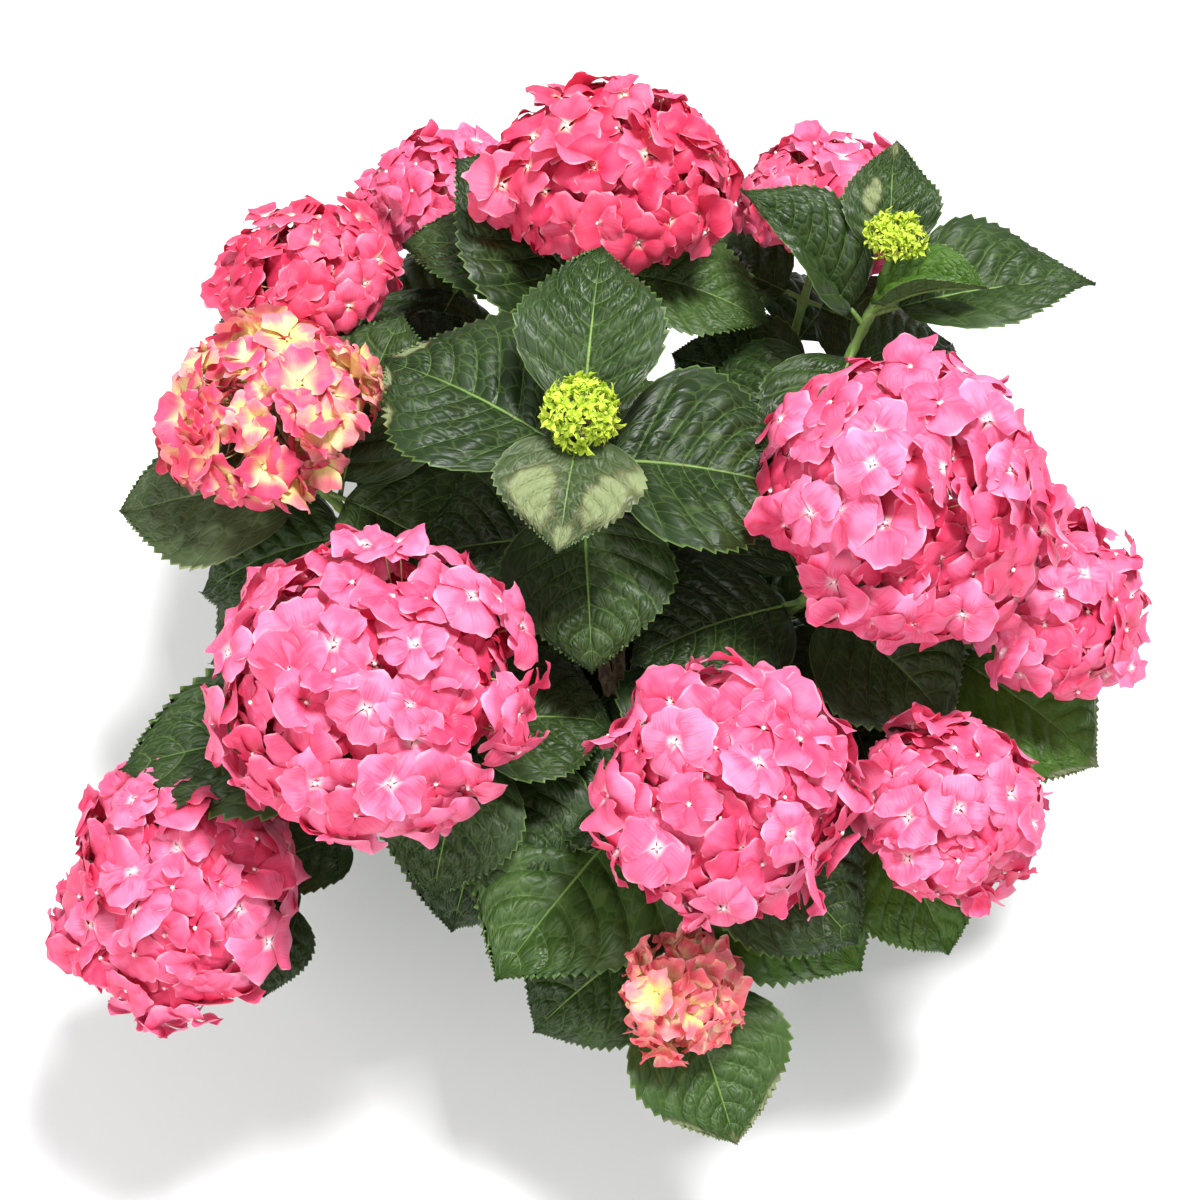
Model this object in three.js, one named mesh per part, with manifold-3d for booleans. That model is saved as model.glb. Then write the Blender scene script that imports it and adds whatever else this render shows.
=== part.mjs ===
// A potted mophead hydrangea: nursery pot, soil, stump, canes, leafy shoots and flower heads.
// Millimetres, +Z up. The origin is on the ground at the middle of the pot's flat underside.
import * as THREE from "three";
import { mergeVertices } from "three/addons/utils/BufferGeometryUtils.js";
import Module from "manifold-3d";

const wasm = await Module();
wasm.setup();
const { Manifold, Mesh: ManifoldMesh } = wasm;

// ---- Driving dimensions -------------------------------------------------------------------

const GAP = 0.3; // clear space between neighbouring pieces
const WELD = 1e-3; // corners nearer than this are one corner
const CUT_MARGIN = 0.35; // how much fatter a limb is when it cuts its neighbour

const POT_HEIGHT = 180;
const POT_RIM_RADIUS = 103;
const POT_BASE_RADIUS = 75;
const POT_WALL = 2.5;
const POT_FLOOR = 3;
const POT_BAND_HEIGHT = 16; // thickened band under the rim
const POT_BAND_STEP = 2; // how far the band stands out from the wall
const POT_FOOT_ROUND = 3;
const POT_LIP_ROUND = 1; // bevel along the top of the rim
const POT_SIDES = 36;
const SOIL_LEVEL = 160;
const SOIL_CROWN = 4; // how much the soil is heaped at the middle
const SOIL_SLOPE = { reach: 0.7, rise: 0.3 }; // where the heap starts, as shares
const SOIL_HEAP = 1.3; // half width of the heap's flat top, as a share of the root flare

const STUMP_TOP = 190;
const STUMP_FLARE_RADIUS = 27;
const STUMP_TOP_RADIUS = 18;
const STUMP_LEAN = 2;
const STUMP_LOBES = 5;
const STUMP_LOBE_DEPTH = 0.12;
const STUMP_SIDES = 20;
const STUMP_ROWS = [0, 0.25, 0.6, 1, 1.2]; // heights of the stump's rings, 1 being its shoulder
const STUMP_DOME = { shrink: 0.6, height: 6 }; // the rounded top above the shoulder

const CANE_START_RADIUS = 4.6; // half thickness where a cane leaves the stump
const FORK_START_RADIUS = 4.0; // half thickness where a cane leaves another cane
const SHOOT_START_RADIUS = 3.4; // half thickness where woody cane becomes green shoot
const SHOOT_TIP_RADIUS = 2.6;
const CANE_RISE = 62; // degrees above level at which canes leave the stump
const LOW_RISE = 42; // the same for the low leafy shoots
const CANE_RING = 14; // how far the canes start from the middle of the stump
const MIDDLE_RING = 2; // the same for the upright cane in the middle
const CANE_SINK = 5; // how far under the stump's top the canes start
const LOW_SINK = 18; // the same for the low leafy shoots
const LOW_END_RISE = 60; // degrees above level at which the low shoots end
const CANE_PULL = { start: 0.33, end: 0.36 }; // reach of the curve's handles, as shares
const FORK_PULL = { start: 0.3, end: 0.3 };
const FORK_SPREAD = 0.8; // how far a fork turns from its parent's way towards its own head
const CANE_SIDES = 6;
const CANE_STEP = 36; // length of one step along a cane
const SHOOT_SIDES = 5;
const SHOOT_STEP = 30;
const SHOOT_FOOT = 10; // green shoot below its lowest pair of leaves

const PETIOLE_SHARE = 0.2; // leaf stalk, as a share of the leaf's whole length
const PETIOLE_RADIUS = 1.5;
const BLADE_WIDTH = 1.0; // widest part of the blade, as a share of the blade's length
const BLADE_THICKNESS = 1.7;
const BLADE_FOLD = 14; // degrees that each half of the blade rises from the midrib
const BLADE_ROWS = [0.13, 0.45, 0.8];

const HEAD_UNDER = 0.62; // depth of a head below its middle, as a share of its radius
const HEAD_BASE = 0.45; // where the stalk meets the head, as a share of its radius
const FLORET_LIFT = 0.93; // height of the florets' middles, as a share of the head's radius
const CORE_SHARE = 0.86; // size of the solid middle of a head
const FLORET_POLAR = 112; // degrees from the head's top to its lowest florets
const FLORET_CROWDING = 0.8; // share of the full dome's skin that the florets are counted on
const FLORET_WILDNESS = 0.22; // how far a floret may lean away from the skin
const LOBE = { count: 4, notch: 0.8, droop: 0.16, notchDroop: 0.3 }; // as shares of its radius
const CORE_CONE = [[-0.33, 0.16], [-0.28, 0.5]]; // [height, reach] of the rings under the dome
const CORE_POLARS = [97, 70, 45, 20]; // rings of the dome, in degrees from its top
const BUD_CORE_SHARE = 0.75;
const BUD_ROOT = 0.6; // where a bud starts, as a share of its head's radius
const GOLDEN_TURN = 137.508;
const SMOOTHING = 0.6; // edges shorter than this are closed up once a head or mass is fused

// ---- The shoots ---------------------------------------------------------------------------
// head: middle of the flower head, direction and angle that it leans, radius, height share.
// A leaf is [distance below the head, turn, rise, length, bend, fold]; fold may be left out.
// from: the cane that this one forks from, and how far along that cane.
// upright: the cane stands in the middle of the stump. A shoot with no head ends at its tip.

const SHOOTS = [
  {
    name: "centre_bud",
    upright: true,
    head: { kind: "bud", at: [-25, 40, 480], turn: 270, lean: 12, radius: 22, tall: 0.7 },
    leaves: [
      [22, 84, 18, 135, 42], [22, 256, -8, 85, 60], [48, 148, 14, 143, 34], [48, 358, 4, 122, 36],
      [88, 273, 10, 116, 48], [88, 85, 14, 120, 48], [130, 180, 5, 120, 45], [130, 0, -7, 120, 45],
    ],
  },
  {
    name: "right_bud",
    head: { kind: "bud", at: [170, 215, 430], turn: 60, lean: 8, radius: 20, tall: 0.6 },
    leaves: [
      [18, 86, 42, 80, 35], [18, 340, 35, 72, 15, 30], [60, 149, 45, 122, 18, 35],
      [60, 12, 22, 152, 38], [90, 28, 0, 95, 40], [95, 200, 2, 110, 45], [125, 150, 14, 110, 40],
      [75, 250, 5, 105, 45], [125, 300, -3, 110, 45],
    ],
  },
  {
    name: "top",
    head: { kind: "rose", at: [-10, 260, 430], turn: 85, lean: 22, radius: 82, tall: 0.8 },
    leaves: [
      [30, 167, 17, 148, 38], [35, 100, 3, 160, 40], [25, 340, 5, 115, 50], [60, 178, 10, 139, 40],
      [60, 45, 10, 130, 45], [100, 95, 5, 120, 45], [100, 275, 10, 110, 45],
    ],
  },
  {
    name: "left_young",
    head: { kind: "young", at: [-214, 112, 385], turn: 150, lean: 22, radius: 69, tall: 0.8 },
    leaves: [
      [35, 182, 7, 130, 34], [35, 30, 5, 90, 55], [75, 190, 0, 125, 45], [90, 66, 6, 105, 45],
      [115, 196, 0, 158, 45], [100, 330, 0, 105, 45], [115, 20, 5, 110, 45],
    ],
  },
  {
    name: "right_big",
    head: { kind: "pink", at: [160, 30, 412], turn: 10, lean: 22, radius: 89, tall: 0.95 },
    leaves: [
      [60, 302, 5, 112, 45], [60, 110, 8, 120, 40], [95, 30, -3, 120, 45], [95, 215, 25, 110, 35],
      [135, 270, -8, 113, 45], [125, 115, 20, 110, 45],
    ],
  },
  {
    name: "front_left",
    head: { kind: "pink", at: [-140, -90, 400], turn: 213, lean: 18, radius: 92, tall: 0.85 },
    leaves: [
      [55, 8, 12, 108, 50], [55, 188, 8, 125, 45], [85, 256, 0, 106, 50], [85, 100, 18, 115, 45],
      [120, 271, 11, 114, 45], [125, 250, -10, 135, 45], [115, 165, 15, 140, 45],
    ],
  },
  {
    name: "front_mid",
    head: { kind: "pink", at: [55, -135, 365], turn: 295, lean: 15, radius: 76, tall: 0.85 },
    leaves: [
      [45, 323, 0, 130, 45], [45, 83, 14, 125, 50], [70, 176, 5, 95, 45], [70, 320, -5, 155, 40],
      [105, 230, 9, 162, 45], [105, 50, 25, 105, 45],
    ],
  },
  {
    name: "back_left",
    from: { cane: "top", share: 0.35 },
    head: { kind: "rose", at: [-126, 334, 336], turn: 112, lean: 32, radius: 60, tall: 0.8 },
    leaves: [
      [35, 61, 6, 140, 45], [30, 250, 5, 110, 45], [70, 165, 5, 120, 45], [70, 345, 10, 100, 45],
    ],
  },
  {
    name: "left_upper",
    from: { cane: "left_young", share: 0.35 },
    head: { kind: "rose", at: [-206, 240, 372], turn: 130, lean: 28, radius: 65, tall: 0.75 },
    leaves: [
      [45, 137, 1, 142, 40], [35, 317, 5, 95, 50], [85, 170, 8, 150, 45], [85, 60, 20, 115, 45],
      [90, 5, 5, 105, 45],
    ],
  },
  {
    name: "back_right",
    from: { cane: "right_bud", share: 0.3 },
    head: { kind: "rose", at: [141, 300, 365], turn: 65, lean: 32, radius: 66, tall: 0.75 },
    leaves: [
      [35, 150, 8, 110, 45], [35, 330, 5, 105, 45], [75, 60, 0, 115, 45], [75, 240, 6, 105, 45],
    ],
  },
  {
    name: "right_low",
    from: { cane: "right_big", share: 0.3 },
    head: { kind: "pink", at: [270, 8, 329], turn: 0, lean: 35, radius: 57, tall: 0.85 },
    leaves: [
      [50, 313, -8, 118, 45], [40, 110, 5, 110, 45], [80, 20, -10, 110, 45], [80, 215, 20, 95, 35],
    ],
  },
  {
    name: "right_front",
    from: { cane: "right_big", share: 0.2 },
    head: { kind: "pink", at: [190, -120, 310], turn: 330, lean: 30, radius: 60, tall: 0.85 },
    leaves: [
      [45, 300, -9, 106, 40], [40, 100, 15, 100, 45], [75, 350, -16, 110, 45],
      [75, 190, 15, 90, 45],
    ],
  },
  {
    name: "far_left",
    from: { cane: "front_left", share: 0.3 },
    head: { kind: "pink", at: [-265, -150, 270], turn: 210, lean: 30, radius: 84, tall: 0.7 },
    leaves: [
      [40, 277, 0, 85, 45], [40, 110, 5, 100, 45], [75, 205, -8, 115, 45], [105, 152, 12, 165, 42],
    ],
  },
  {
    name: "front_young",
    from: { cane: "front_mid", share: 0.3 },
    head: { kind: "young", at: [35, -215, 260], turn: 280, lean: 20, radius: 38, tall: 0.9 },
    leaves: [
      [30, 290, 2, 112, 45], [30, 110, -12, 80, 45], [60, 217, 0, 97, 40], [50, 35, 0, 100, 45],
    ],
  },
  {
    name: "low_front",
    tip: [-10, -95, 255],
    leaves: [
      [20, 244, -10, 110, 55], [5, 60, 35, 90, 50], [30, 163, -8, 115, 50], [30, 330, 13, 110, 50],
      [60, 245, 0, 105, 50],
    ],
  },
  {
    name: "low_right",
    tip: [110, -8, 245],
    leaves: [
      [5, 345, 20, 110, 55], [5, 160, 15, 68, 70], [30, 255, 5, 110, 50], [30, 75, 5, 110, 50],
      [60, 340, -5, 105, 50],
    ],
  },
  {
    name: "low_back",
    tip: [30, 110, 255],
    leaves: [
      [5, 90, 20, 115, 55], [5, 270, 35, 85, 50], [30, 0, 5, 110, 50], [30, 180, 2, 110, 50],
      [60, 85, -5, 105, 50],
    ],
  },
  {
    name: "low_left",
    tip: [-110, 10, 255],
    leaves: [
      [5, 180, 20, 115, 55], [15, 0, 15, 85, 50], [30, 95, 5, 110, 50], [30, 260, 2, 103, 40],
      [60, 175, -5, 105, 50],
    ],
  },
];

// Floret radius and how much of the head's skin one floret takes, for each kind of head.
const FLORETS = {
  rose: { radius: 29, area: 3500, colour: "#d9486f" },
  pink: { radius: 31, area: 3900, colour: "#ee7fa3" },
  young: { radius: 24, area: 2500, colour: "#ee8d8f" },
};
const BUD_TIP = { radius: 2.4, count: 10, colour: "#b7cc3c" };

// ---- Small helpers ------------------------------------------------------------------------

const radians = THREE.MathUtils.degToRad;
const UP = new THREE.Vector3(0, 0, 1);

/** Unit vector that points round to `turn` degrees from +X and up by `rise` degrees. */
function heading(turn, rise) {
  const level = Math.cos(radians(rise));
  return new THREE.Vector3(
    level * Math.cos(radians(turn)), level * Math.sin(radians(turn)), Math.sin(radians(rise)));
}

/** Seeded random numbers from 0 to 1, the same on every run. */
function seededRandom(seed) {
  let state = seed;
  return () => {
    state = (Math.imul(state, 1664525) + 1013904223) >>> 0;
    return state / 2 ** 32;
  };
}

/** A closed geometry as a solid that can be joined, cut and measured. */
function toSolid(geometry) {
  const bare = geometry.clone();
  bare.deleteAttribute("normal");
  bare.deleteAttribute("uv");
  const merged = mergeVertices(bare, WELD);
  const vertProperties = new Float32Array(merged.attributes.position.array);
  const index = merged.index.array;
  const triVerts = [];
  for (let i = 0; i < index.length; i += 3) {
    const [a, b, c] = [index[i], index[i + 1], index[i + 2]];
    if (a !== b && b !== c && c !== a) triVerts.push(a, b, c);
  }
  return new Manifold(
    new ManifoldMesh({ numProp: 3, vertProperties, triVerts: new Uint32Array(triVerts) }));
}

/** A closed skin over rings of points, drawn together to a point at each end. */
function skin(start, rings, end) {
  const around = rings[0].length;
  const positions = [];
  for (const p of [start, ...rings.flat(), end]) positions.push(p.x, p.y, p.z);
  const last = 1 + rings.length * around;
  const index = [];
  for (let k = 0; k < around; k += 1) {
    const next = (k + 1) % around;
    index.push(0, 1 + next, 1 + k);
    for (let row = 0; row < rings.length - 1; row += 1) {
      const a = 1 + row * around;
      const b = a + around;
      index.push(a + k, a + next, b + next, a + k, b + next, b + k);
    }
    const a = last - around;
    index.push(last, a + k, a + next);
  }
  const geometry = new THREE.BufferGeometry();
  geometry.setAttribute("position", new THREE.Float32BufferAttribute(positions, 3));
  geometry.setIndex(index);
  return toSolid(geometry);
}

/** A tapering limb along a curve, between two distances measured back from the curve's end. */
function limb(curve, downFrom, downTo, radiusFrom, radiusTo, sides, step) {
  const length = curve.getLength();
  const count = Math.max(1, Math.round((downFrom - downTo) / step));
  const rings = [];
  let side = null;
  let start = null;
  let end = null;
  for (let i = 0; i <= count; i += 1) {
    const share = i / count;
    const along = 1 - THREE.MathUtils.lerp(downFrom, downTo, share) / length;
    const middle = curve.getPointAt(along);
    const forward = curve.getTangentAt(along);
    side = side ?? new THREE.Vector3().crossVectors(forward, heading(0, 20)).normalize();
    side = side.clone().addScaledVector(forward, -side.dot(forward)).normalize();
    const other = new THREE.Vector3().crossVectors(forward, side);
    const radius = THREE.MathUtils.lerp(radiusFrom, radiusTo, share);
    const ring = [];
    for (let k = 0; k < sides; k += 1) {
      const angle = (2 * Math.PI * k) / sides;
      ring.push(middle.clone()
        .addScaledVector(side, radius * Math.cos(angle))
        .addScaledVector(other, radius * Math.sin(angle)));
    }
    rings.push(ring);
    start = start ?? middle;
    end = middle;
  }
  return skin(start, rings, end);
}

/**
 * Several solids joined into one: the slivers that joining leaves are closed up, sealed hollows
 * are filled and loose scraps dropped, by keeping only the connected skin with the most corners.
 */
function fuse(solids) {
  const mesh = Manifold.union(solids).simplify(SMOOTHING).getMesh();
  const parent = Array.from({ length: mesh.vertProperties.length / 3 }, (_, i) => i);
  const find = (i) => {
    let root = i;
    while (parent[root] !== root) root = parent[root];
    parent[i] = root;
    return root;
  };
  const corners = mesh.triVerts;
  for (let i = 0; i < corners.length; i += 3) {
    parent[find(corners[i + 1])] = find(corners[i]);
    parent[find(corners[i + 2])] = find(corners[i]);
  }
  const sizes = new Map();
  for (const corner of corners) sizes.set(find(corner), (sizes.get(find(corner)) ?? 0) + 1);
  const [largest] = [...sizes].reduce((best, entry) => (entry[1] > best[1] ? entry : best));
  const geometry = new THREE.BufferGeometry();
  geometry.setAttribute("position", new THREE.BufferAttribute(mesh.vertProperties, 3));
  geometry.setIndex([...corners].filter((corner) => find(corner) === largest));
  return toSolid(geometry);
}

/** The largest loose piece of a solid. */
function largestPiece(solid) {
  const pieces = solid.decompose();
  return pieces.reduce((best, piece) => (piece.volume() > best.volume() ? piece : best));
}

/** Whether two solids come nearer to each other than the gap that pieces keep. */
function touches(a, b) {
  const [boxA, boxB] = [a.boundingBox(), b.boundingBox()];
  for (let axis = 0; axis < 3; axis += 1) {
    if (boxA.min[axis] > boxB.max[axis] + GAP || boxB.min[axis] > boxA.max[axis] + GAP) {
      return false;
    }
  }
  return a.minGap(b, 2 * GAP) < GAP;
}

// ---- Pot, soil and stump ------------------------------------------------------------------

/** Radius of the pot's outer wall at a height. */
function potRadius(height) {
  const share = height / POT_HEIGHT;
  return THREE.MathUtils.lerp(POT_BASE_RADIUS, POT_RIM_RADIUS - POT_BAND_STEP, share);
}

/** A solid of revolution from a profile of [radius, height] pairs. */
function lathe(profile) {
  const points = profile.map(([radius, height]) => new THREE.Vector2(radius, height));
  const geometry = new THREE.LatheGeometry(points, POT_SIDES);
  geometry.rotateX(Math.PI / 2);
  return toSolid(geometry);
}

/** The round pot: a tapered wall, a thickened band under its rim, and a flat closed floor. */
function buildPot() {
  const bandFoot = POT_HEIGHT - POT_BAND_HEIGHT;
  return lathe([
    [0, 0],
    [POT_BASE_RADIUS - POT_FOOT_ROUND, 0],
    [potRadius(POT_FOOT_ROUND), POT_FOOT_ROUND],
    [potRadius(bandFoot), bandFoot],
    [potRadius(bandFoot) + POT_BAND_STEP, bandFoot + POT_BAND_STEP],
    [POT_RIM_RADIUS, POT_HEIGHT - POT_LIP_ROUND],
    [POT_RIM_RADIUS - POT_LIP_ROUND, POT_HEIGHT],
    [potRadius(POT_HEIGHT) - POT_WALL, POT_HEIGHT],
    [potRadius(POT_FLOOR) - POT_WALL, POT_FLOOR],
    [0, POT_FLOOR],
  ]);
}

/** The soil that fills the pot, slightly heaped towards its middle. */
function buildSoil() {
  const inset = POT_WALL + 2 * GAP;
  const foot = POT_FLOOR + GAP;
  return lathe([
    [0, foot],
    [potRadius(foot) - inset, foot],
    [potRadius(SOIL_LEVEL) - inset, SOIL_LEVEL],
    [potRadius(SOIL_LEVEL) * SOIL_SLOPE.reach, SOIL_LEVEL + SOIL_CROWN * SOIL_SLOPE.rise],
    [STUMP_FLARE_RADIUS * SOIL_HEAP, SOIL_LEVEL + SOIL_CROWN],
    [0, SOIL_LEVEL + SOIL_CROWN],
  ]);
}

/** The woody stump, with a lobed root flare at the soil; margin makes it fatter for cutting. */
function buildStump(margin = 0) {
  const foot = SOIL_LEVEL + SOIL_CROWN + GAP;
  const rings = STUMP_ROWS.map((share) => {
    const flare = Math.max(0, 1 - share) ** 2;
    const dome = share > 1 ? STUMP_DOME.shrink : 1;
    const radius = dome * THREE.MathUtils.lerp(STUMP_TOP_RADIUS, STUMP_FLARE_RADIUS, flare);
    const ring = [];
    for (let k = 0; k < STUMP_SIDES; k += 1) {
      const angle = (2 * Math.PI * k) / STUMP_SIDES;
      const lobed = radius * (1 + STUMP_LOBE_DEPTH * flare * Math.cos(STUMP_LOBES * angle));
      const reach = lobed + margin;
      ring.push(new THREE.Vector3(
        reach * Math.cos(angle) + STUMP_LEAN * share,
        reach * Math.sin(angle),
        foot - margin + share * (STUMP_TOP - foot) + (share > 0 ? 2 * margin : 0)));
    }
    return ring;
  });
  const start = new THREE.Vector3(0, 0, foot - margin);
  const end = new THREE.Vector3(STUMP_LEAN, 0, STUMP_TOP + STUMP_DOME.height + margin);
  return skin(start, rings, end);
}

// ---- Canes and shoots ---------------------------------------------------------------------

/** Where a shoot's stem ends and which way it points there. */
function shootEnd(shoot) {
  if (!shoot.head) {
    const tip = new THREE.Vector3(...shoot.tip);
    return { tip, axis: heading(azimuth(tip), LOW_END_RISE) };
  }
  const axis = heading(shoot.head.turn, 90 - shoot.head.lean);
  const middle = new THREE.Vector3(...shoot.head.at);
  return { tip: middle.addScaledVector(axis, -HEAD_BASE * shoot.head.radius), axis };
}

/** Degrees from +X round to a point, seen from above. */
function azimuth(point) {
  return THREE.MathUtils.radToDeg(Math.atan2(point.y, point.x));
}

/** The curve of a cane and of the green shoot that carries it on to its tip. */
function stemCurve(shoot, curves) {
  const { tip, axis } = shootEnd(shoot);
  const pull = shoot.from ? FORK_PULL : CANE_PULL;
  let start;
  let leave;
  if (shoot.from) {
    const parent = curves[shoot.from.cane];
    start = parent.getPoint(shoot.from.share);
    const outward = tip.clone().sub(start).normalize().multiplyScalar(FORK_SPREAD);
    leave = parent.getTangent(shoot.from.share).add(outward).normalize();
  } else {
    const round = azimuth(tip);
    const ring = shoot.upright ? MIDDLE_RING : CANE_RING;
    const height = STUMP_TOP - (shoot.head ? CANE_SINK : LOW_SINK);
    start = heading(round, 0).multiplyScalar(ring).setZ(height);
    leave = heading(round, shoot.head ? CANE_RISE : LOW_RISE);
  }
  const reach = tip.distanceTo(start);
  return new THREE.CubicBezierCurve3(
    start,
    start.clone().addScaledVector(leave, pull.start * reach),
    tip.clone().addScaledVector(axis, -pull.end * reach),
    tip);
}

/** Length of the green part of a shoot, down from its tip. */
function greenLength(shoot) {
  return Math.max(...shoot.leaves.map(([down]) => down)) + SHOOT_FOOT;
}

/** A woody cane; margin makes it fatter for cutting the canes that fork from it. */
function buildCane(shoot, curve, margin = 0) {
  const startRadius = shoot.from ? FORK_START_RADIUS : CANE_START_RADIUS;
  const top = greenLength(shoot) + GAP;
  return limb(curve, curve.getLength(), top, startRadius + margin, SHOOT_START_RADIUS + margin,
    CANE_SIDES, CANE_STEP);
}

// ---- Leaves -------------------------------------------------------------------------------

/** Half width of a blade as a share of its widest, from its base (0) to its tip (1). */
function bladeOutline(along) {
  return Math.sin(Math.PI * along ** 0.82) ** (0.62 + 0.55 * along);
}

/** Middle line, sideways and upward directions of a drooping blade at a share of its length. */
function bladeFrame(base, turn, rise, length, bend, along) {
  const blade = length * (1 - PETIOLE_SHARE);
  const [first, sweep] = [radians(rise), radians(bend)];
  const now = first - sweep * along;
  const outward = (blade * (Math.sin(first) - Math.sin(now))) / sweep;
  const upward = (blade * (Math.cos(now) - Math.cos(first))) / sweep;
  const middle = base.clone()
    .addScaledVector(heading(turn, rise), length * PETIOLE_SHARE)
    .addScaledVector(heading(turn, 0), outward)
    .addScaledVector(UP, upward);
  const across = heading(turn + 90, 0);
  const normal = heading(turn, THREE.MathUtils.radToDeg(now) + 90);
  return { middle, across, normal };
}

/** One leaf: a thin stalk sunk into the stem, that widens into a thin folded blade. */
function buildLeaf(base, [, turn, rise, length, bend, fold = BLADE_FOLD]) {
  const blade = length * (1 - PETIOLE_SHARE);
  const section = (along, middle, half, thick, foldHere) => {
    const { across, normal } = bladeFrame(base, turn, rise, length, bend, along);
    const [flat, lift] = [half * Math.cos(radians(foldHere)), half * Math.sin(radians(foldHere))];
    return [
      middle.clone().addScaledVector(across, flat).addScaledVector(normal, lift),
      middle.clone().addScaledVector(normal, thick),
      middle.clone().addScaledVector(across, -flat).addScaledVector(normal, lift),
      middle.clone().addScaledVector(normal, -thick),
    ];
  };
  const middleAt = (along) => bladeFrame(base, turn, rise, length, bend, along).middle;
  const rings = [
    section(0, base, PETIOLE_RADIUS, PETIOLE_RADIUS, 0),
    section(0, middleAt(0), PETIOLE_RADIUS * 0.8, PETIOLE_RADIUS * 0.8, 0),
    ...BLADE_ROWS.map((along) => section(along, middleAt(along),
      0.5 * BLADE_WIDTH * blade * bladeOutline(along), 0.5 * BLADE_THICKNESS, fold)),
  ];
  return skin(base, rings, middleAt(1));
}

// ---- Flower heads -------------------------------------------------------------------------

/** A frame with its Z along the head's axis, for placing florets. */
function headMatrix(head) {
  const axis = heading(head.turn, 90 - head.lean);
  const turnToAxis = new THREE.Quaternion().setFromUnitVectors(UP, axis);
  return new THREE.Matrix4().compose(
    new THREE.Vector3(...head.at), turnToAxis, new THREE.Vector3(1, 1, 1));
}

/** Point on the head's dome in its own frame, for a polar angle and a turn in degrees. */
function domePoint(head, polar, round, size) {
  const direction = heading(round, 90 - polar);
  const squash = direction.z > 0 ? head.tall : HEAD_UNDER;
  return direction.multiply(new THREE.Vector3(1, 1, squash)).multiplyScalar(head.radius * size);
}

/** The solid middle of a head: a dome above, and a cone of flower stalks below. */
function headCore(head, size, sides) {
  const rings = CORE_CONE.map(([height, reach]) => {
    const ring = [];
    for (let k = 0; k < sides; k += 1) {
      ring.push(heading((360 * k) / sides, 0).multiplyScalar(reach * head.radius)
        .setZ(height * head.radius));
    }
    return ring;
  });
  for (const polar of CORE_POLARS) {
    const ring = [];
    for (let k = 0; k < sides; k += 1) ring.push(domePoint(head, polar, (360 * k) / sides, size));
    rings.push(ring);
  }
  const start = new THREE.Vector3(0, 0, -HEAD_BASE * head.radius + 0.5);
  return skin(start, rings, domePoint(head, 0, 0, size));
}

/** The head's own stalk, from the end of the shoot into the core. */
function headStalk(head) {
  const from = new THREE.Vector3(0, 0, -HEAD_BASE * head.radius);
  const to = new THREE.Vector3(0, 0, -0.2 * head.radius);
  return limb(new THREE.LineCurve3(from, to), from.distanceTo(to), 0,
    SHOOT_TIP_RADIUS, 1.6 * SHOOT_TIP_RADIUS, SHOOT_SIDES, head.radius);
}

/** A floret of four rounded lobes, with a root that reaches down into the core. */
function buildFloret(centre, outward, radius, spin, tilt) {
  const normal = outward.clone().add(tilt).normalize();
  const side = new THREE.Vector3().crossVectors(normal, heading(spin, 10)).normalize();
  const other = new THREE.Vector3().crossVectors(normal, side);
  const ring = [];
  for (let k = 0; k < 2 * LOBE.count; k += 1) {
    const angle = (Math.PI * k) / LOBE.count;
    const reach = radius * (k % 2 === 0 ? 1 : LOBE.notch);
    const drop = radius * (k % 2 === 0 ? LOBE.droop : LOBE.notchDroop);
    ring.push(centre.clone()
      .addScaledVector(side, reach * Math.cos(angle))
      .addScaledVector(other, reach * Math.sin(angle))
      .addScaledVector(normal, -drop));
  }
  return skin(centre.clone().addScaledVector(normal, -0.6 * radius), [ring], centre);
}

/** A whole mophead of florets, spaced over the dome by the golden angle. */
function buildBloom(head, seed) {
  const floret = FLORETS[head.kind];
  const random = seededRandom(seed);
  const edge = 1 - Math.cos(radians(FLORET_POLAR));
  const skinArea = 2 * Math.PI * head.radius ** 2 * edge * FLORET_CROWDING;
  const count = Math.round(skinArea / floret.area);
  const solids = [headCore(head, CORE_SHARE, 10), headStalk(head)];
  for (let i = 0; i < count; i += 1) {
    const polar = THREE.MathUtils.radToDeg(Math.acos(1 - (edge * (i + 0.5)) / count));
    const round = i * GOLDEN_TURN + 20 * random();
    const centre = domePoint(head, polar, round, FLORET_LIFT + 0.05 * random());
    const outward = domePoint(head, polar, round, 1).divide(
      new THREE.Vector3(1, 1, head.tall ** 2)).normalize();
    const tilt = heading(360 * random(), 0).multiplyScalar(FLORET_WILDNESS * random());
    solids.push(buildFloret(centre, outward, floret.radius * (0.9 + 0.2 * random()),
      360 * random(), tilt));
  }
  return fuse(solids).transform(headMatrix(head).elements);
}

/** A green head of unopened buds: a small core with pointed buds all over it. */
function buildBud(head, seed) {
  const random = seededRandom(seed);
  const solids = [headCore(head, BUD_CORE_SHARE, 5), headStalk(head)];
  for (let i = 0; i < BUD_TIP.count; i += 1) {
    const polar = THREE.MathUtils.radToDeg(Math.acos(1 - (1.1 * (i + 0.5)) / BUD_TIP.count));
    const round = i * GOLDEN_TURN;
    const root = domePoint(head, polar, round, BUD_ROOT);
    const tip = domePoint(head, polar, round + 8 * random(), 0.94 + 0.06 * random());
    const shoulder = root.clone().lerp(tip, 0.6);
    const outward = tip.clone().sub(root).normalize();
    const side = new THREE.Vector3().crossVectors(outward, heading(round, 5)).normalize();
    const other = new THREE.Vector3().crossVectors(outward, side);
    const ring = [0, 1, 2, 3].map((k) => shoulder.clone()
      .addScaledVector(side, BUD_TIP.radius * Math.cos((Math.PI * k) / 2))
      .addScaledVector(other, BUD_TIP.radius * Math.sin((Math.PI * k) / 2)));
    solids.push(skin(root, [ring], tip));
  }
  return fuse(solids).transform(headMatrix(head).elements);
}

// ---- Putting the plant together -----------------------------------------------------------

const group = new THREE.Group();

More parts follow.
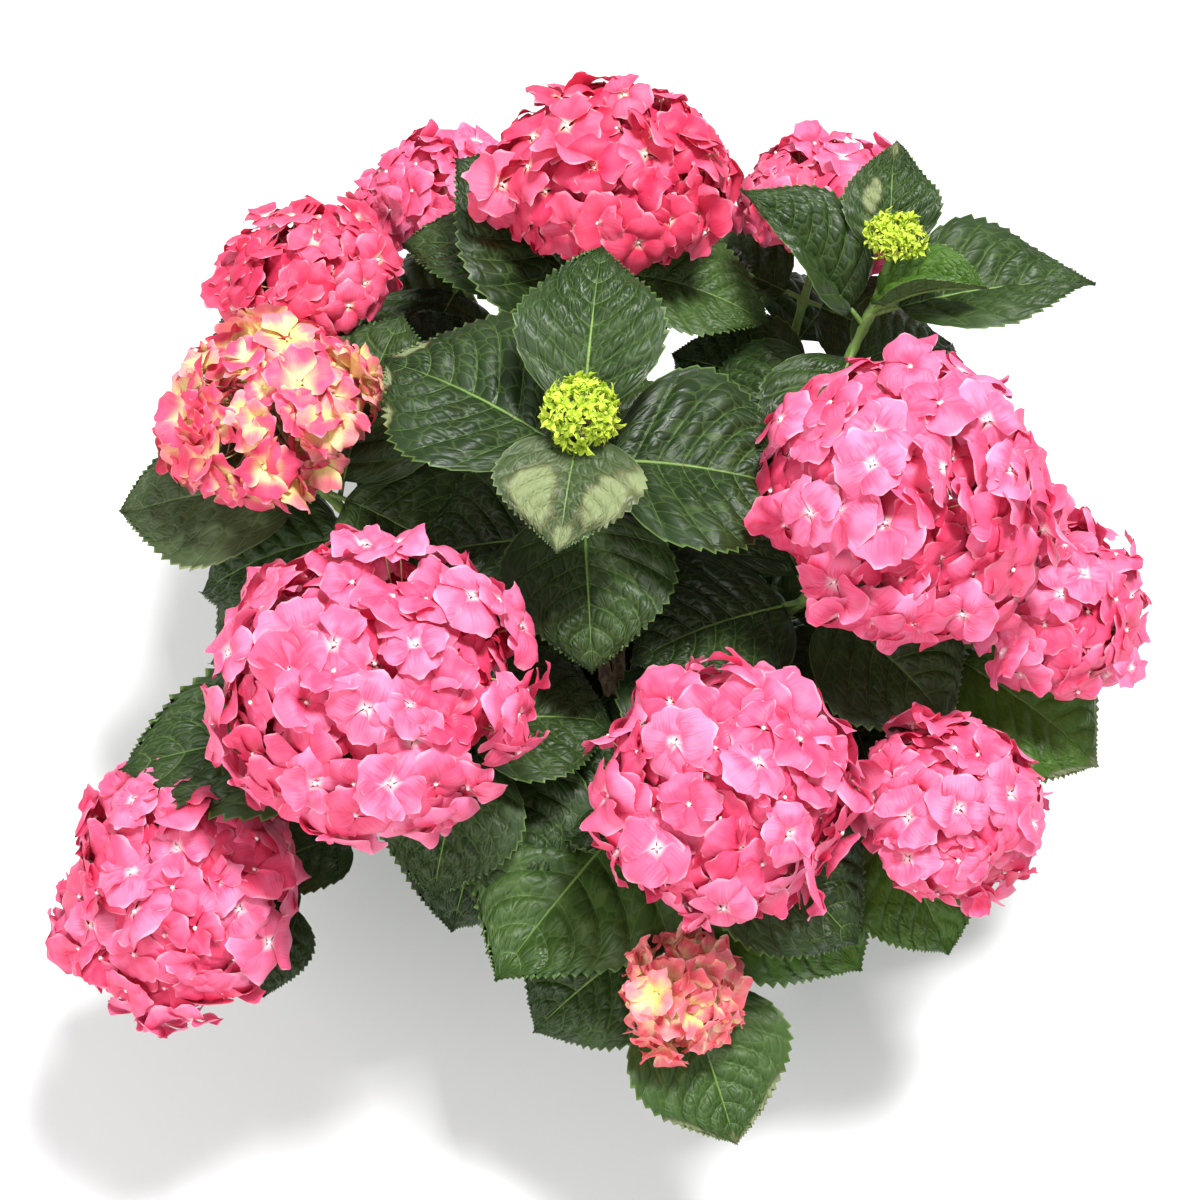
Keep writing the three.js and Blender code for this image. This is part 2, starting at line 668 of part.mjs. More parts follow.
/** Adds one solid to the group as a named mesh with its own material. */
function place(name, solid, colour, roughness) {
  const mesh = solid.getMesh();
  const geometry = new THREE.BufferGeometry();
  geometry.setAttribute("position", new THREE.BufferAttribute(mesh.vertProperties, 3));
  geometry.setIndex(new THREE.BufferAttribute(mesh.triVerts, 1));
  const material = new THREE.MeshStandardMaterial({ color: colour, roughness, metalness: 0 });
  const piece = new THREE.Mesh(geometry, material);
  piece.name = name;
  group.add(piece);
}

const placed = [];
const curves = {};
const canes = {};
const pot = buildPot();
const soil = buildSoil();
const stump = buildStump();
placed.push(pot, soil, stump);
place("pot", pot, "#1c1c1d", 0.55);
place("soil", soil, "#3b2a1e", 0.95);
place("woody_base", stump, "#6d5a45", 0.85);

const stumpCutter = buildStump(CUT_MARGIN);
for (const shoot of SHOOTS) {
  const curve = stemCurve(shoot, curves);
  curves[shoot.name] = curve;
  let cutter = stumpCutter;
  if (shoot.from) {
    const parent = SHOOTS.find(({ name }) => name === shoot.from.cane);
    cutter = buildCane(parent, curves[parent.name], CUT_MARGIN);
  }
  canes[shoot.name] = largestPiece(buildCane(shoot, curve).subtract(cutter));
  placed.push(canes[shoot.name]);
  place(`cane_${shoot.name}`, canes[shoot.name], "#7b6b4a", 0.8);
}

SHOOTS.forEach(({ name, head }, index) => {
  if (!head) return;
  const isBud = head.kind === "bud";
  const bloom = isBud ? buildBud(head, index + 1) : buildBloom(head, index + 1);
  placed.push(bloom);
  place(`bloom_${name}`, bloom, isBud ? BUD_TIP.colour : FLORETS[head.kind].colour, 0.6);
});

// Every shoot's stem comes first, and the leaves follow from the top pairs down. A leaf that
// would touch another node is left out.
const masses = SHOOTS.map((shoot) => {
  const curve = curves[shoot.name];
  const end = shoot.head ? GAP : 0;
  const stem = limb(curve, greenLength(shoot), end, SHOOT_START_RADIUS, SHOOT_TIP_RADIUS,
    SHOOT_SIDES, SHOOT_STEP);
  return { shoot, curve, solids: [stem] };
});
const sprouts = masses.flatMap((mass) => mass.shoot.leaves.map((leaf) => ({ mass, leaf })));
sprouts.sort((a, b) => a.leaf[0] - b.leaf[0]);
const leftOut = [];
for (const { mass, leaf } of sprouts) {
  const base = mass.curve.getPointAt(1 - leaf[0] / mass.curve.getLength());
  const solid = buildLeaf(base, leaf);
  const others = masses.filter((other) => other !== mass).flatMap((other) => other.solids);
  if ([...placed, ...others].some((other) => touches(solid, other))) {
    leftOut.push(`${mass.shoot.name} ${leaf}`);
  } else {
    mass.solids.push(solid);
  }
}
for (const { shoot, solids } of masses) {
  place(`leaves_${shoot.name}`, fuse(solids), "#3f6b35", 0.6);
}
group.userData = { leftOut };

export default group;
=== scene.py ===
import logging
import math
from collections.abc import Callable, Iterable, Sequence
from dataclasses import dataclass, field, replace
from enum import Enum
from functools import cache, reduce
from typing import Any, NamedTuple

import bpy
import numpy as np
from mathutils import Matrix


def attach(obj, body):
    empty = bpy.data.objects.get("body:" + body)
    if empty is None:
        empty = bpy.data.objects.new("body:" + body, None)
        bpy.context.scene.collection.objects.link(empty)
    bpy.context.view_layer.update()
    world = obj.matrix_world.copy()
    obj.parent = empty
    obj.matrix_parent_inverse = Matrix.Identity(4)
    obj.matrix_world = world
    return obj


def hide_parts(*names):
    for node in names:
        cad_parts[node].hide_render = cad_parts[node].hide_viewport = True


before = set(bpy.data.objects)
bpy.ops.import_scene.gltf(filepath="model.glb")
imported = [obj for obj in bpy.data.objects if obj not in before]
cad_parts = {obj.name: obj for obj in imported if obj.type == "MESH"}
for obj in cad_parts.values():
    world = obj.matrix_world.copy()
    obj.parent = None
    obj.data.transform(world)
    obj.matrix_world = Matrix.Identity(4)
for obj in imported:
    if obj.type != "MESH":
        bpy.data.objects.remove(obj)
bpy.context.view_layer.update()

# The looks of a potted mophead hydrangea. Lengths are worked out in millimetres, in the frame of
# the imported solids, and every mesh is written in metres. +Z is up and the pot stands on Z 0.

MM = 0.001
UP = np.array([0.0, 0.0, 1.0])
GOLDEN_TURN = 137.508
Colour = tuple[float, float, float]
Point = tuple[float, float, float]
Range = tuple[float, float]
Socket = bpy.types.NodeSocket

log = logging.getLogger("hydrangea")


# ---- Small helpers ------------------------------------------------------------------------


def heading(turn: Any, rise: Any) -> np.ndarray:
    """Unit vectors that point round to turn degrees from +X and up by rise degrees.

    Args:
        turn: Degrees round from +X, a number or an array.
        rise: Degrees above level, a number or an array.

    Returns:
        An array of the same shape with a last axis of 3.
    """
    t, r = np.broadcast_arrays(np.radians(turn), np.radians(rise))
    return np.stack([np.cos(r) * np.cos(t), np.cos(r) * np.sin(t), np.sin(r)], -1)


def unit(v: np.ndarray) -> np.ndarray:
    """The vectors of v at length one."""
    return v / np.maximum(np.linalg.norm(v, axis=-1, keepdims=True), 1e-12)


def turned_to(axis: np.ndarray) -> np.ndarray:
    """The shortest rotation that turns +Z to a unit axis.

    Args:
        axis: A unit vector.

    Returns:
        A 3 by 3 matrix that works on column vectors.
    """
    v, c = np.cross(UP, axis), float(axis[2])
    skew = np.array([[0, -v[2], v[1]], [v[2], 0, -v[0]], [-v[1], v[0], 0]])
    return np.eye(3) + skew + skew @ skew / (1 + c)


def smooth(low: float, high: float, x: np.ndarray) -> np.ndarray:
    """A soft step from 0 below low to 1 above high."""
    t = np.clip((x - low) / (high - low), 0, 1)
    return t * t * (3 - 2 * t)


class Sheet(NamedTuple):
    """Points, faces and each face corner's place on the sheet's own map."""

    points: np.ndarray
    faces: np.ndarray
    corners: np.ndarray


def grid(points: np.ndarray, closed: bool = False) -> Sheet:
    """A sheet of four-cornered faces over rows and columns of points.

    Args:
        points: An array of rows, columns and 3 coordinates.
        closed: Whether the last column joins the first, as round a tube.

    Returns:
        The sheet, which faces the way of column cross row.
    """
    rows, columns = points.shape[:2]
    span = columns if closed else columns - 1
    r, c = np.meshgrid(np.arange(rows - 1), np.arange(span), indexing="ij")
    step = [(0, 0), (0, 1), (1, 1), (1, 0)]
    faces = np.stack([(r + i) * columns + (c + j) % columns for i, j in step], -1)
    corners = np.stack(
        [np.stack([(c + j) / span, (r + i) / (rows - 1)], -1) for i, j in step], -2)
    return Sheet(points.reshape(-1, 3), faces.reshape(-1, 4), corners.reshape(-1, 4, 2))


def fan(ring: np.ndarray, middle: np.ndarray, under: bool) -> Sheet:
    """A round end of triangles from a ring of points to its middle.

    Args:
        ring: The points of the ring.
        middle: Where the triangles meet.
        under: Whether it faces back along the ring's own axis.

    Returns:
        The sheet.
    """
    sides = len(ring)
    faces = np.array([[sides, k, (k + 1) % sides] for k in range(sides)])
    faces = faces[:, ::-1] if under else faces
    angle = 2 * np.pi * np.arange(sides) / sides
    spread = 0.5 + 0.5 * np.stack([np.cos(angle), np.sin(angle)], -1)
    return Sheet(np.concatenate([ring, [middle]]), faces,
                 np.concatenate([spread, [[0.5, 0.5]]])[faces])


def tube(path: np.ndarray, radii: np.ndarray, sides: int,
         relief: Callable[[np.ndarray, np.ndarray], np.ndarray] | None = None) -> list[Sheet]:
    """A closed round skin along a path.

    Args:
        path: The points of the middle line.
        radii: The half thickness at each of them.
        sides: Corners round the tube.
        relief: Gives extra half thickness from the distance along and the angle round.

    Returns:
        The wall and the two round ends.
    """
    forward = unit(np.gradient(path, axis=0))
    side = unit(np.cross(forward[0], heading(0, 20)))
    along = np.concatenate([[0], np.cumsum(np.linalg.norm(np.diff(path, axis=0), axis=1))])
    angle = 2 * np.pi * np.arange(sides) / sides
    rings = []
    for middle, ahead, radius, far in zip(path, forward, radii, along):
        side = unit(side - ahead * (side @ ahead))
        other = np.cross(ahead, side)
        reach = radius + (relief(np.full(sides, far), angle) if relief else 0)
        round_it = np.cos(angle)[:, None] * side + np.sin(angle)[:, None] * other
        rings.append(middle + round_it * np.broadcast_to(reach, sides)[:, None])
    return [grid(np.array(rings), closed=True), fan(rings[0], path[0], True),
            fan(rings[-1], path[-1], False)]


def level_ring(radius: Any, height: Any, angle: np.ndarray) -> np.ndarray:
    """Points at these angles round the Z axis, of one radius and height or one for each."""
    return np.column_stack([radius * np.cos(angle), radius * np.sin(angle),
                            np.broadcast_to(height, len(angle))])


def ball_shape() -> tuple[np.ndarray, np.ndarray]:
    """Points and triangles of a small round ball of radius one, of 32 faces."""
    points = [np.array(p, float) for p in
              [(1, 0, 0), (-1, 0, 0), (0, 1, 0), (0, -1, 0), (0, 0, 1), (0, 0, -1)]]
    faces = []
    for a, b, c in [(0, 2, 4), (2, 1, 4), (1, 3, 4), (3, 0, 4),
                    (2, 0, 5), (1, 2, 5), (3, 1, 5), (0, 3, 5)]:
        ids = [a, b, c]
        for p, q in ((a, b), (b, c), (c, a)):
            middle = unit(points[p] + points[q])
            found = [i for i, old in enumerate(points) if np.allclose(old, middle)]
            if not found:
                points.append(middle)
            ids.append(found[0] if found else len(points) - 1)
        a, b, c, ab, bc, ca = ids
        faces += [(a, ab, ca), (ab, b, bc), (ca, bc, c), (ab, bc, ca)]
    return np.array(points), np.array(faces)


BALL = ball_shape()


def lump(points: np.ndarray) -> Sheet:
    """A small round lump, from the points of BALL moved into place."""
    return Sheet(points, BALL[1], 0.5 + 0.4 * BALL[0][:, :2][BALL[1]])


@dataclass
class Batch:
    """Many sheets gathered into one mesh, each on its own cell of one map.

    Attributes:
        marks: Names of the numbers that each point carries for its material.
    """

    marks: tuple[str, ...] = ()
    parts: list[tuple[Sheet, int, dict[str, Any]]] = field(default_factory=list)

    def add(self, sheets: Sheet | Iterable[Sheet], finish: int = 0, **marks: Any) -> None:
        """Adds sheets with one finish.

        Args:
            sheets: One sheet or several.
            finish: Which of the mesh's materials they take.
            **marks: A number for each mark, or one number for each point.
        """
        for sheet in [sheets] if isinstance(sheets, Sheet) else sheets:
            self.parts.append((sheet, finish, marks))

    def build(self, name: str, materials: Sequence[bpy.types.Material]) -> bpy.types.Object:
        """Makes the Blender object.

        Args:
            name: The object's name.
            materials: Its materials, in the order that the finishes count them.

        Returns:
            The object, in metres, linked to the scene.
        """
        points = np.concatenate([sheet.points for sheet, _, _ in self.parts]) * MM
        starts = np.cumsum([0] + [len(sheet.points) for sheet, _, _ in self.parts])
        cells = math.ceil(math.sqrt(len(self.parts)))
        loops, totals, places, finishes = [], [], [], []
        for cell, ((sheet, finish, _), start) in enumerate(zip(self.parts, starts)):
            loops.append((sheet.faces + start).ravel())
            totals.append(np.full(len(sheet.faces), sheet.faces.shape[1]))
            corner = np.array([cell % cells, cell // cells])
            places.append(((corner + 0.04 + 0.92 * sheet.corners) / cells).reshape(-1, 2))
            finishes.append(np.full(len(sheet.faces), finish))
        total = np.concatenate(totals)
        mesh = bpy.data.meshes.new(name)
        mesh.vertices.add(len(points))
        mesh.vertices.foreach_set("co", points.ravel().astype(np.float32))
        mesh.loops.add(int(total.sum()))
        mesh.loops.foreach_set("vertex_index", np.concatenate(loops).astype(np.int32))
        mesh.polygons.add(len(total))
        mesh.polygons.foreach_set(
            "loop_start", np.concatenate([[0], np.cumsum(total)[:-1]]).astype(np.int32))
        mesh.polygons.foreach_set("material_index", np.concatenate(finishes).astype(np.int32))
        mesh.polygons.foreach_set("use_smooth", np.ones(len(total), bool))
        mesh.update(calc_edges=True)
        bake_map = mesh.uv_layers.new(name="OFBake")
        bake_map.data.foreach_set("uv", np.concatenate(places).ravel().astype(np.float32))
        for mark in self.marks:
            values = np.concatenate([
                np.broadcast_to(marks.get(mark, 0.0), len(sheet.points))
                for sheet, _, marks in self.parts])
            attribute = mesh.attributes.new(mark, "FLOAT", "POINT")
            attribute.data.foreach_set("value", values.astype(np.float32))
        for material in materials:
            mesh.materials.append(material)
        made = bpy.data.objects.new(name, mesh)
        bpy.context.scene.collection.objects.link(made)
        return made


def settle(piece: bpy.types.Object, slot: str, *nodes: str) -> None:
    """Puts a finished piece in the frame.

    Args:
        piece: The piece.
        slot: The record's material slot of the piece; not used.
        *nodes: The solids that it stands for.
    """
    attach(piece, "root")
    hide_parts(*nodes)
    log.info("%s: %d triangles", piece.name, len(piece.data.loops) - 2 * len(piece.data.polygons))


# ---- Shader patterns ----------------------------------------------------------------------


class NodeBench:
    """Puts nodes into one node tree and wires them up."""

    def __init__(self, tree: bpy.types.NodeTree) -> None:
        """Takes the tree that the nodes go into."""
        self.tree = tree

    def feed(self, socket: Socket, value: Any) -> None:
        """Links an input to a socket, or sets it to a number or a colour.

        Args:
            socket: The input.
            value: What it takes.
        """
        if isinstance(value, Socket):
            self.tree.links.new(value, socket)
        elif isinstance(value, tuple) and socket.type == "RGBA":
            socket.default_value = (*value, 1.0)
        else:
            socket.default_value = value

    def node(self, kind: str, inputs: dict[Any, Any] | None = None, **settings: Any) -> Any:
        """Adds a node.

        Args:
            kind: Blender's name of the node type, after ShaderNode.
            inputs: Sockets or values for its inputs, by name or number.
            **settings: The node's own settings.

        Returns:
            The node's outputs.
        """
        made = self.tree.nodes.new(f"ShaderNode{kind}")
        for key, value in settings.items():
            setattr(made, key, value)
        for key, value in (inputs or {}).items():
            self.feed(made.inputs[key], value)
        return made.outputs

    def math(self, operation: str, *values: Any, clamp: bool = False) -> Socket:
        """The result of a Math node with these values, kept from 0 to 1 if clamp is true."""
        return self.node("Math", dict(enumerate(values)), operation=operation, use_clamp=clamp)[0]

    def times(self, a: Any, b: Any) -> Socket:
        """The product of two numbers."""
        return self.math("MULTIPLY", a, b)

    def plus(self, a: Any, b: Any) -> Socket:
        """The sum of two numbers."""
        return self.math("ADD", a, b)

    def most(self, *values: Any) -> Socket:
        """The greatest of several numbers."""
        return reduce(lambda a, b: self.math("MAXIMUM", a, b), values)

    def blend(self, factor: Any, a: Any, b: Any) -> Socket:
        """Mixes two colours.

        Args:
            factor: 0 for a and 1 for b.
            a: The first colour or its socket.
            b: The second colour or its socket.

        Returns:
            The mixed colour's socket.
        """
        made = self.tree.nodes.new("ShaderNodeMix")
        made.data_type = "RGBA"
        for socket, value in zip([s for s in made.inputs if s.enabled], (factor, a, b)):
            self.feed(socket, value)
        return next(s for s in made.outputs if s.enabled)

    def band(self, value: Any, low: float, high: float) -> Socket:
        """A soft step from 0 at low to 1 at high, which may be the lower of the two."""
        return self.node("MapRange", {"Value": value, "From Min": low, "From Max": high},
                         interpolation_type="SMOOTHSTEP")["Result"]

    def remap(self, value: Any, to: Range, span: Range = (0.3, 0.7)) -> Socket:
        """A number stretched from a span to the range that it goes to, and kept inside that."""
        return self.node("MapRange", {"Value": value, "From Min": span[0], "From Max": span[1],
                                      "To Min": to[0], "To Max": to[1]})["Result"]

    def mark(self, name: str) -> Socket:
        """A number that the mesh's points carry."""
        return self.node("Attribute", attribute_name=name)["Fac"]

    def join(self, x: Any, y: Any, z: Any) -> Socket:
        """A vector from three numbers."""
        return self.node("CombineXYZ", {0: x, 1: y, 2: z})[0]

    def noise(self, place: Any, scale: Any, detail: float, rough: float = 0.5) -> Socket:
        """A noise from 0 to 1 at a place."""
        return self.node("TexNoise", {"Vector": place, "Scale": scale, "Detail": detail,
                                      "Roughness": rough})["Fac"]

    def group(self, pattern: "Pattern", **inputs: Any) -> Any:
        """Places a pattern with these inputs and gives its outputs."""
        return self.node("Group", inputs, node_tree=pattern.tree())


@dataclass(frozen=True)
class Pattern:
    """A shader node group that several materials place.

    Attributes:
        name: Its name.
        inputs: Names of its inputs; those in COLOURS are colours and the rest are numbers.
        outputs: Names of its outputs, likewise.
        fill: Builds its inside from a bench and the inputs, and returns the outputs.
    """

    name: str
    inputs: str
    outputs: str
    fill: Callable[[NodeBench, Any], dict[str, Any]]

    @cache
    def tree(self) -> bpy.types.NodeTree:
        """The node group, which is built on first use."""
        tree = bpy.data.node_groups.new(self.name, "ShaderNodeTree")
        for way, labels in (("INPUT", self.inputs), ("OUTPUT", self.outputs)):
            for label in labels.split():
                kind = "Color" if label in COLOURS else "Float"
                tree.interface.new_socket(label, in_out=way, socket_type=f"NodeSocket{kind}")
        bench = NodeBench(tree)
        given = tree.nodes.new("NodeGroupInput").outputs
        leave = tree.nodes.new("NodeGroupOutput").inputs
        for label, socket in self.fill(bench, given).items():
            bench.feed(leave[label], socket)
        return tree


def mottle(bench: NodeBench, given: Any) -> dict[str, Any]:
    """Soft patches of a second tint over the surface, with a height.

    Args:
        bench: The group's bench.
        given: The group's inputs.

    Returns:
        The group's outputs.
    """
    broad = bench.noise(bench.node("TexCoord")["Object"], given["Scale"], 2.0, 0.6)
    share = bench.times(bench.band(broad, 0.38, 0.66), given["Amount"])
    return {"Colour": bench.blend(share, given["Colour"], given["Second"]), "Height": broad}


def blade_veins(bench: NodeBench, given: Any) -> dict[str, Any]:
    """The veins of a blade as masks, and the height of its skin between them.

    Args:
        bench: The group's bench.
        given: The group's inputs.

    Returns:
        The group's outputs.
    """
    ribs, across, tone = bench.mark("ribs"), bench.mark("across"), bench.mark("tone")
    aside = bench.math("ABSOLUTE", across)
    to_rib = bench.math("ABSOLUTE", bench.math(
        "SUBTRACT", bench.math("FRACT", bench.plus(ribs, 0.5)), 0.5))
    width = bench.math("SUBTRACT", 0.042, bench.times(aside, 0.022))
    side = bench.math("SUBTRACT", 1.0, bench.math("DIVIDE", to_rib, width), clamp=True)
    side = bench.times(side, bench.band(aside, 1.0, 0.8))
    middle = bench.band(aside, 0.02, 0.004)
    place = bench.join(bench.plus(bench.times(ribs, 1.7), bench.times(tone, 31.0)),
                       bench.times(across, 8.5), tone)
    cells = bench.node("TexVoronoi", {"Vector": place, "Scale": 1.0},
                       feature="DISTANCE_TO_EDGE")["Distance"]
    puff = bench.plus(bench.times(bench.band(cells, 0.0, 0.3), 0.75),
                      bench.times(bench.noise(place, 4.2, 1.0), 0.4))
    dip = bench.math("SUBTRACT", 1.0, bench.most(side, middle))
    return {"Midrib": middle, "Side": side, "Height": bench.times(puff, dip),
            "Net": bench.times(bench.band(cells, 0.08, 0.0), bench.band(aside, 1.02, 0.7)),
            "Rim": bench.times(bench.band(aside, 0.965, 0.998), given["Rim"])}


def petal_fan(bench: NodeBench, given: Any) -> dict[str, Any]:
    """The pale eye, the fan of fine veins, the soft patches of a second tint and the pale rim of a
    petal as masks.

    Args:
        bench: The group's bench.
        given: The group's inputs.

    Returns:
        The group's outputs.
    """
    along, across, tone = bench.mark("along"), bench.mark("across"), bench.mark("tone")

    def spot(*scales: float) -> Socket:
        """A place on the petal, of its own on each floret."""
        return bench.join(*(bench.times(*pair) for pair in zip((across, along, tone), scales)))

    soft = bench.noise(spot(1.9, 2.2, 57.0), 0.8, 1.0)
    fan = bench.noise(spot(13.0, 1.6, 91.0), 1.0, 1.0)
    outer = bench.times(bench.math("SUBTRACT", along, 0.6), 0.3)
    ragged = bench.times(bench.math("SUBTRACT", soft, 0.5), given["Ragged"])
    return {"Lines": bench.times(bench.band(fan, 0.5, 0.66), bench.band(along, 1.0, 0.4)),
            "Spread": bench.plus(along, ragged), "Soft": bench.plus(soft, outer),
            # Rim: the band along the edge that takes the pale rim, which is partly painted
            # highlight.
            "Rim": bench.band(bench.most(bench.math("ABSOLUTE", across), along), 0.9, 1.0),
            "Height": bench.plus(bench.times(fan, 0.6), bench.times(soft, 1.2))}


def stem_grain(bench: NodeBench, given: Any) -> dict[str, Any]:
    """Long fibres and cracks that run up and down a stem, as a mask and a height.

    Args:
        bench: The group's bench.
        given: The group's inputs.

    Returns:
        The group's outputs.
    """
    place = bench.node("TexCoord")["Object"]
    drawn = bench.node("Mapping", {"Vector": place, "Scale": (1.0, 1.0, 0.12)})[0]
    fibre = bench.noise(drawn, given["Scale"], 5.0, 0.65)
    return {"Crack": bench.band(fibre, 0.56, 0.42), "Height": fibre,
            "Specks": bench.band(bench.noise(place, 620.0, 1.0), 0.6, 0.7)}


COLOURS = ("Colour", "Second")
MOTTLE = Pattern("Mottle", "Colour Second Scale Amount", "Colour Height", mottle)
BLADE_VEINS = Pattern("BladeVeins", "Rim", "Midrib Side Net Rim Height", blade_veins)
PETAL_FAN = Pattern("PetalFan", "Ragged", "Lines Spread Soft Rim Height", petal_fan)
STEM_GRAIN = Pattern("StemGrain", "Scale", "Crack Specks Height", stem_grain)


class Coat(NodeBench):
    """The nodes of one material, and what every finish does with them."""

    def __init__(self, name: str, roughness: float, specular: float = 0.5) -> None:
        """Starts the material.

        Args:
            name: Its name.
            roughness: The roughness that it has until a pattern feeds it.
            specular: Its specular level.
        """
        self.material = bpy.data.materials.new(name)
        self.material.use_nodes = True
        super().__init__(self.material.node_tree)
        self.shader = self.tree.nodes["Principled BSDF"]
        self.give("Roughness", roughness)
        self.give("Specular IOR Level", specular)

    def give(self, name: str, value: Any) -> None:
        """Feeds one of the main shader's inputs."""
        self.feed(self.shader.inputs[name], value)

    def bump(self, height: Any, depth: float, strength: float = 1.0) -> None:
        """Raises the surface.

        Args:
            height: The height's socket.
            depth: What a height of one stands for, in millimetres.
            strength: How much of it is used.
        """
        self.give("Normal", self.node("Bump", {
            "Height": height, "Distance": depth * MM, "Strength": strength})[0])

    def glow(self, colour: Any, share: float) -> None:
        """Lets some light come through a thin sheet.

        Args:
            colour: The colour of that light, or its socket.
            share: How much of the light comes through.
        """
        through = self.node("BsdfTranslucent", {"Color": colour})[0]
        both = self.node("MixShader", {0: share, 1: self.shader.outputs[0], 2: through})[0]
        self.feed(self.tree.nodes["Material Output"].inputs["Surface"], both)


# ---- Finishes -----------------------------------------------------------------------------


@dataclass(frozen=True)
class BladeFinish:
    """One tone of leaf: its green, veins, underside and dried patches."""

    name: str
    blade: Colour
    light: Colour
    vein: Colour = (0.14, 0.24, 0.055)
    under: Colour = (0.1, 0.19, 0.065)
    dry: Colour = (0.2, 0.24, 0.11)
    edge: Colour = (0.1, 0.1, 0.04)
    roughness: float = 0.45

    def material(self) -> bpy.types.Material:
        """Builds the material."""
        coat = Coat(self.name, self.roughness, 0.32)
        veins = coat.group(BLADE_VEINS, Rim=0.55)
        tint = coat.group(MOTTLE, Colour=self.blade, Second=self.light, Scale=28.0, Amount=0.8)
        lines = coat.most(coat.times(veins["Midrib"], 0.7), coat.times(veins["Side"], 0.58),
                          coat.times(veins["Net"], 0.2), veins["Rim"])
        dry = coat.mark("dry")
        green = coat.blend(lines, tint["Colour"], self.vein)
        brown = coat.blend(coat.times(coat.band(dry, 0.25, 0.5), 0.7), green, self.edge)
        parched = coat.blend(coat.band(dry, 0.4, 0.75), brown, self.dry)
        below = coat.blend(coat.times(lines, 0.8), self.under, self.vein)
        behind = coat.node("NewGeometry")["Backfacing"]
        coat.give("Base Color", coat.blend(behind, parched, below))
        wet = coat.remap(tint["Height"], (self.roughness - 0.09, self.roughness + 0.12))
        coat.give("Roughness", coat.most(wet, coat.times(dry, 0.8)))
        coat.bump(veins["Height"], 0.6)
        coat.glow(self.light, 0.08)
        return coat.material


@dataclass(frozen=True)
class PetalFinish:
    """One tone of petal: its two tints, its eye, its fine lines and its pale rim; where the second
    tint is lighter it is partly painted sheen, and the pale rim is partly painted highlight.
    """

    name: str
    colour: Colour
    # Second tint in soft patches that grow towards the tip; on the pink, rose, lilac and bud tones
    # it is lighter and partly painted sheen.
    flush_and_sheen: Colour
    eye: Colour = (0.9, 0.6, 0.62)
    eye_reach: Range = (0.0, 0.1)
    line: Colour = (0.68, 0.045, 0.13)
    line_share: float = 0.5
    # Pale edge colour: partly the petal's own pale edge and partly painted highlight.
    rim: Colour = (0.95, 0.62, 0.72)
    ragged: float = 0.06
    glow: float = 0.15

    def material(self) -> bpy.types.Material:
        """Builds the material."""
        coat = Coat(self.name, 0.5, 0.3)
        fan = coat.group(PETAL_FAN, Ragged=self.ragged)
        # The lighter second tint here is partly painted sheen.
        body = coat.blend(coat.band(fan["Soft"], 0.32, 0.68), self.colour, self.flush_and_sheen)
        lined = coat.blend(coat.times(fan["Lines"], self.line_share), body, self.line)
        # Paler band along the edge: partly painted highlight.
        rimmed = coat.blend(coat.times(fan["Rim"], 0.4), lined, self.rim)
        colour = coat.blend(coat.band(fan["Spread"], *self.eye_reach[::-1]), rimmed, self.eye)
        coat.give("Base Color", colour)
        coat.give("Roughness", coat.remap(fan["Soft"], (0.42, 0.58)))
        coat.bump(fan["Height"], 0.5, 0.75)
        coat.glow(colour, self.glow)
        return coat.material


@dataclass(frozen=True)
class StemFinish:
    """Bark or green stem: two tints, fibres and small specks."""

    name: str
    colour: Colour
    second: Colour
    crack: Colour
    speck: Colour
    crack_share: float
    speck_share: float
    scale: float
    depth: float
    roughness: float

    def material(self) -> bpy.types.Material:
        """Builds the material."""
        coat = Coat(self.name, self.roughness, 0.35)
        grain = coat.group(STEM_GRAIN, Scale=self.scale)
        tint = coat.group(MOTTLE, Colour=self.colour, Second=self.second, Scale=45.0, Amount=0.8)
        cracked = coat.blend(coat.times(grain["Crack"], self.crack_share), tint["Colour"],
                             self.crack)
        coat.give("Base Color", coat.blend(coat.times(grain["Specks"], self.speck_share),
                                           cracked, self.speck))
        coat.give("Roughness", coat.remap(
            grain["Height"], (self.roughness - 0.12, self.roughness + 0.12), (0.0, 1.0)))
        coat.bump(grain["Height"], self.depth)
        return coat.material


@dataclass(frozen=True)
class PlainFinish:
    """Moulded plastic or soil: two tints in fine patches over a fine bump."""

    name: str
    colour: Colour
    second: Colour
    scale: float
    amount: float
    depth: float
    roughness: float
    specular: float = 0.5

    def material(self) -> bpy.types.Material:
        """Builds the material."""
        coat = Coat(self.name, self.roughness, self.specular)
        tint = coat.group(MOTTLE, Colour=self.colour, Second=self.second, Scale=self.scale,
                          Amount=self.amount)
        coat.give("Base Color", tint["Colour"])
        coat.give("Roughness", coat.remap(
            tint["Height"], (self.roughness - 0.06, self.roughness + 0.08)))
        coat.bump(tint["Height"], self.depth)
        return coat.material


@cache
def dressed(finish: Any) -> bpy.types.Material:
    """The material of a finish, which is built on first use."""
    return finish.material()


class LeafTone(Enum):
    """The tones that leaves are dealt."""

    DEEP = BladeFinish("leaf_deep", (0.011, 0.026, 0.005), (0.018, 0.038, 0.008))
    MID = BladeFinish("leaf_mid", (0.018, 0.039, 0.008), (0.031, 0.06, 0.014))
    # A paler green for leaves that stand in full light: partly their own paler green and partly
    # painted light.
    LIGHT = BladeFinish("leaf_pale_and_lit", (0.03, 0.068, 0.012), (0.05, 0.096, 0.021))
    FRESH = BladeFinish("leaf_fresh", (0.038, 0.098, 0.007), (0.064, 0.138, 0.013))
    GREY = BladeFinish("leaf_grey", (0.038, 0.064, 0.02), (0.06, 0.085, 0.034),
                       vein=(0.2, 0.27, 0.1), roughness=0.48)


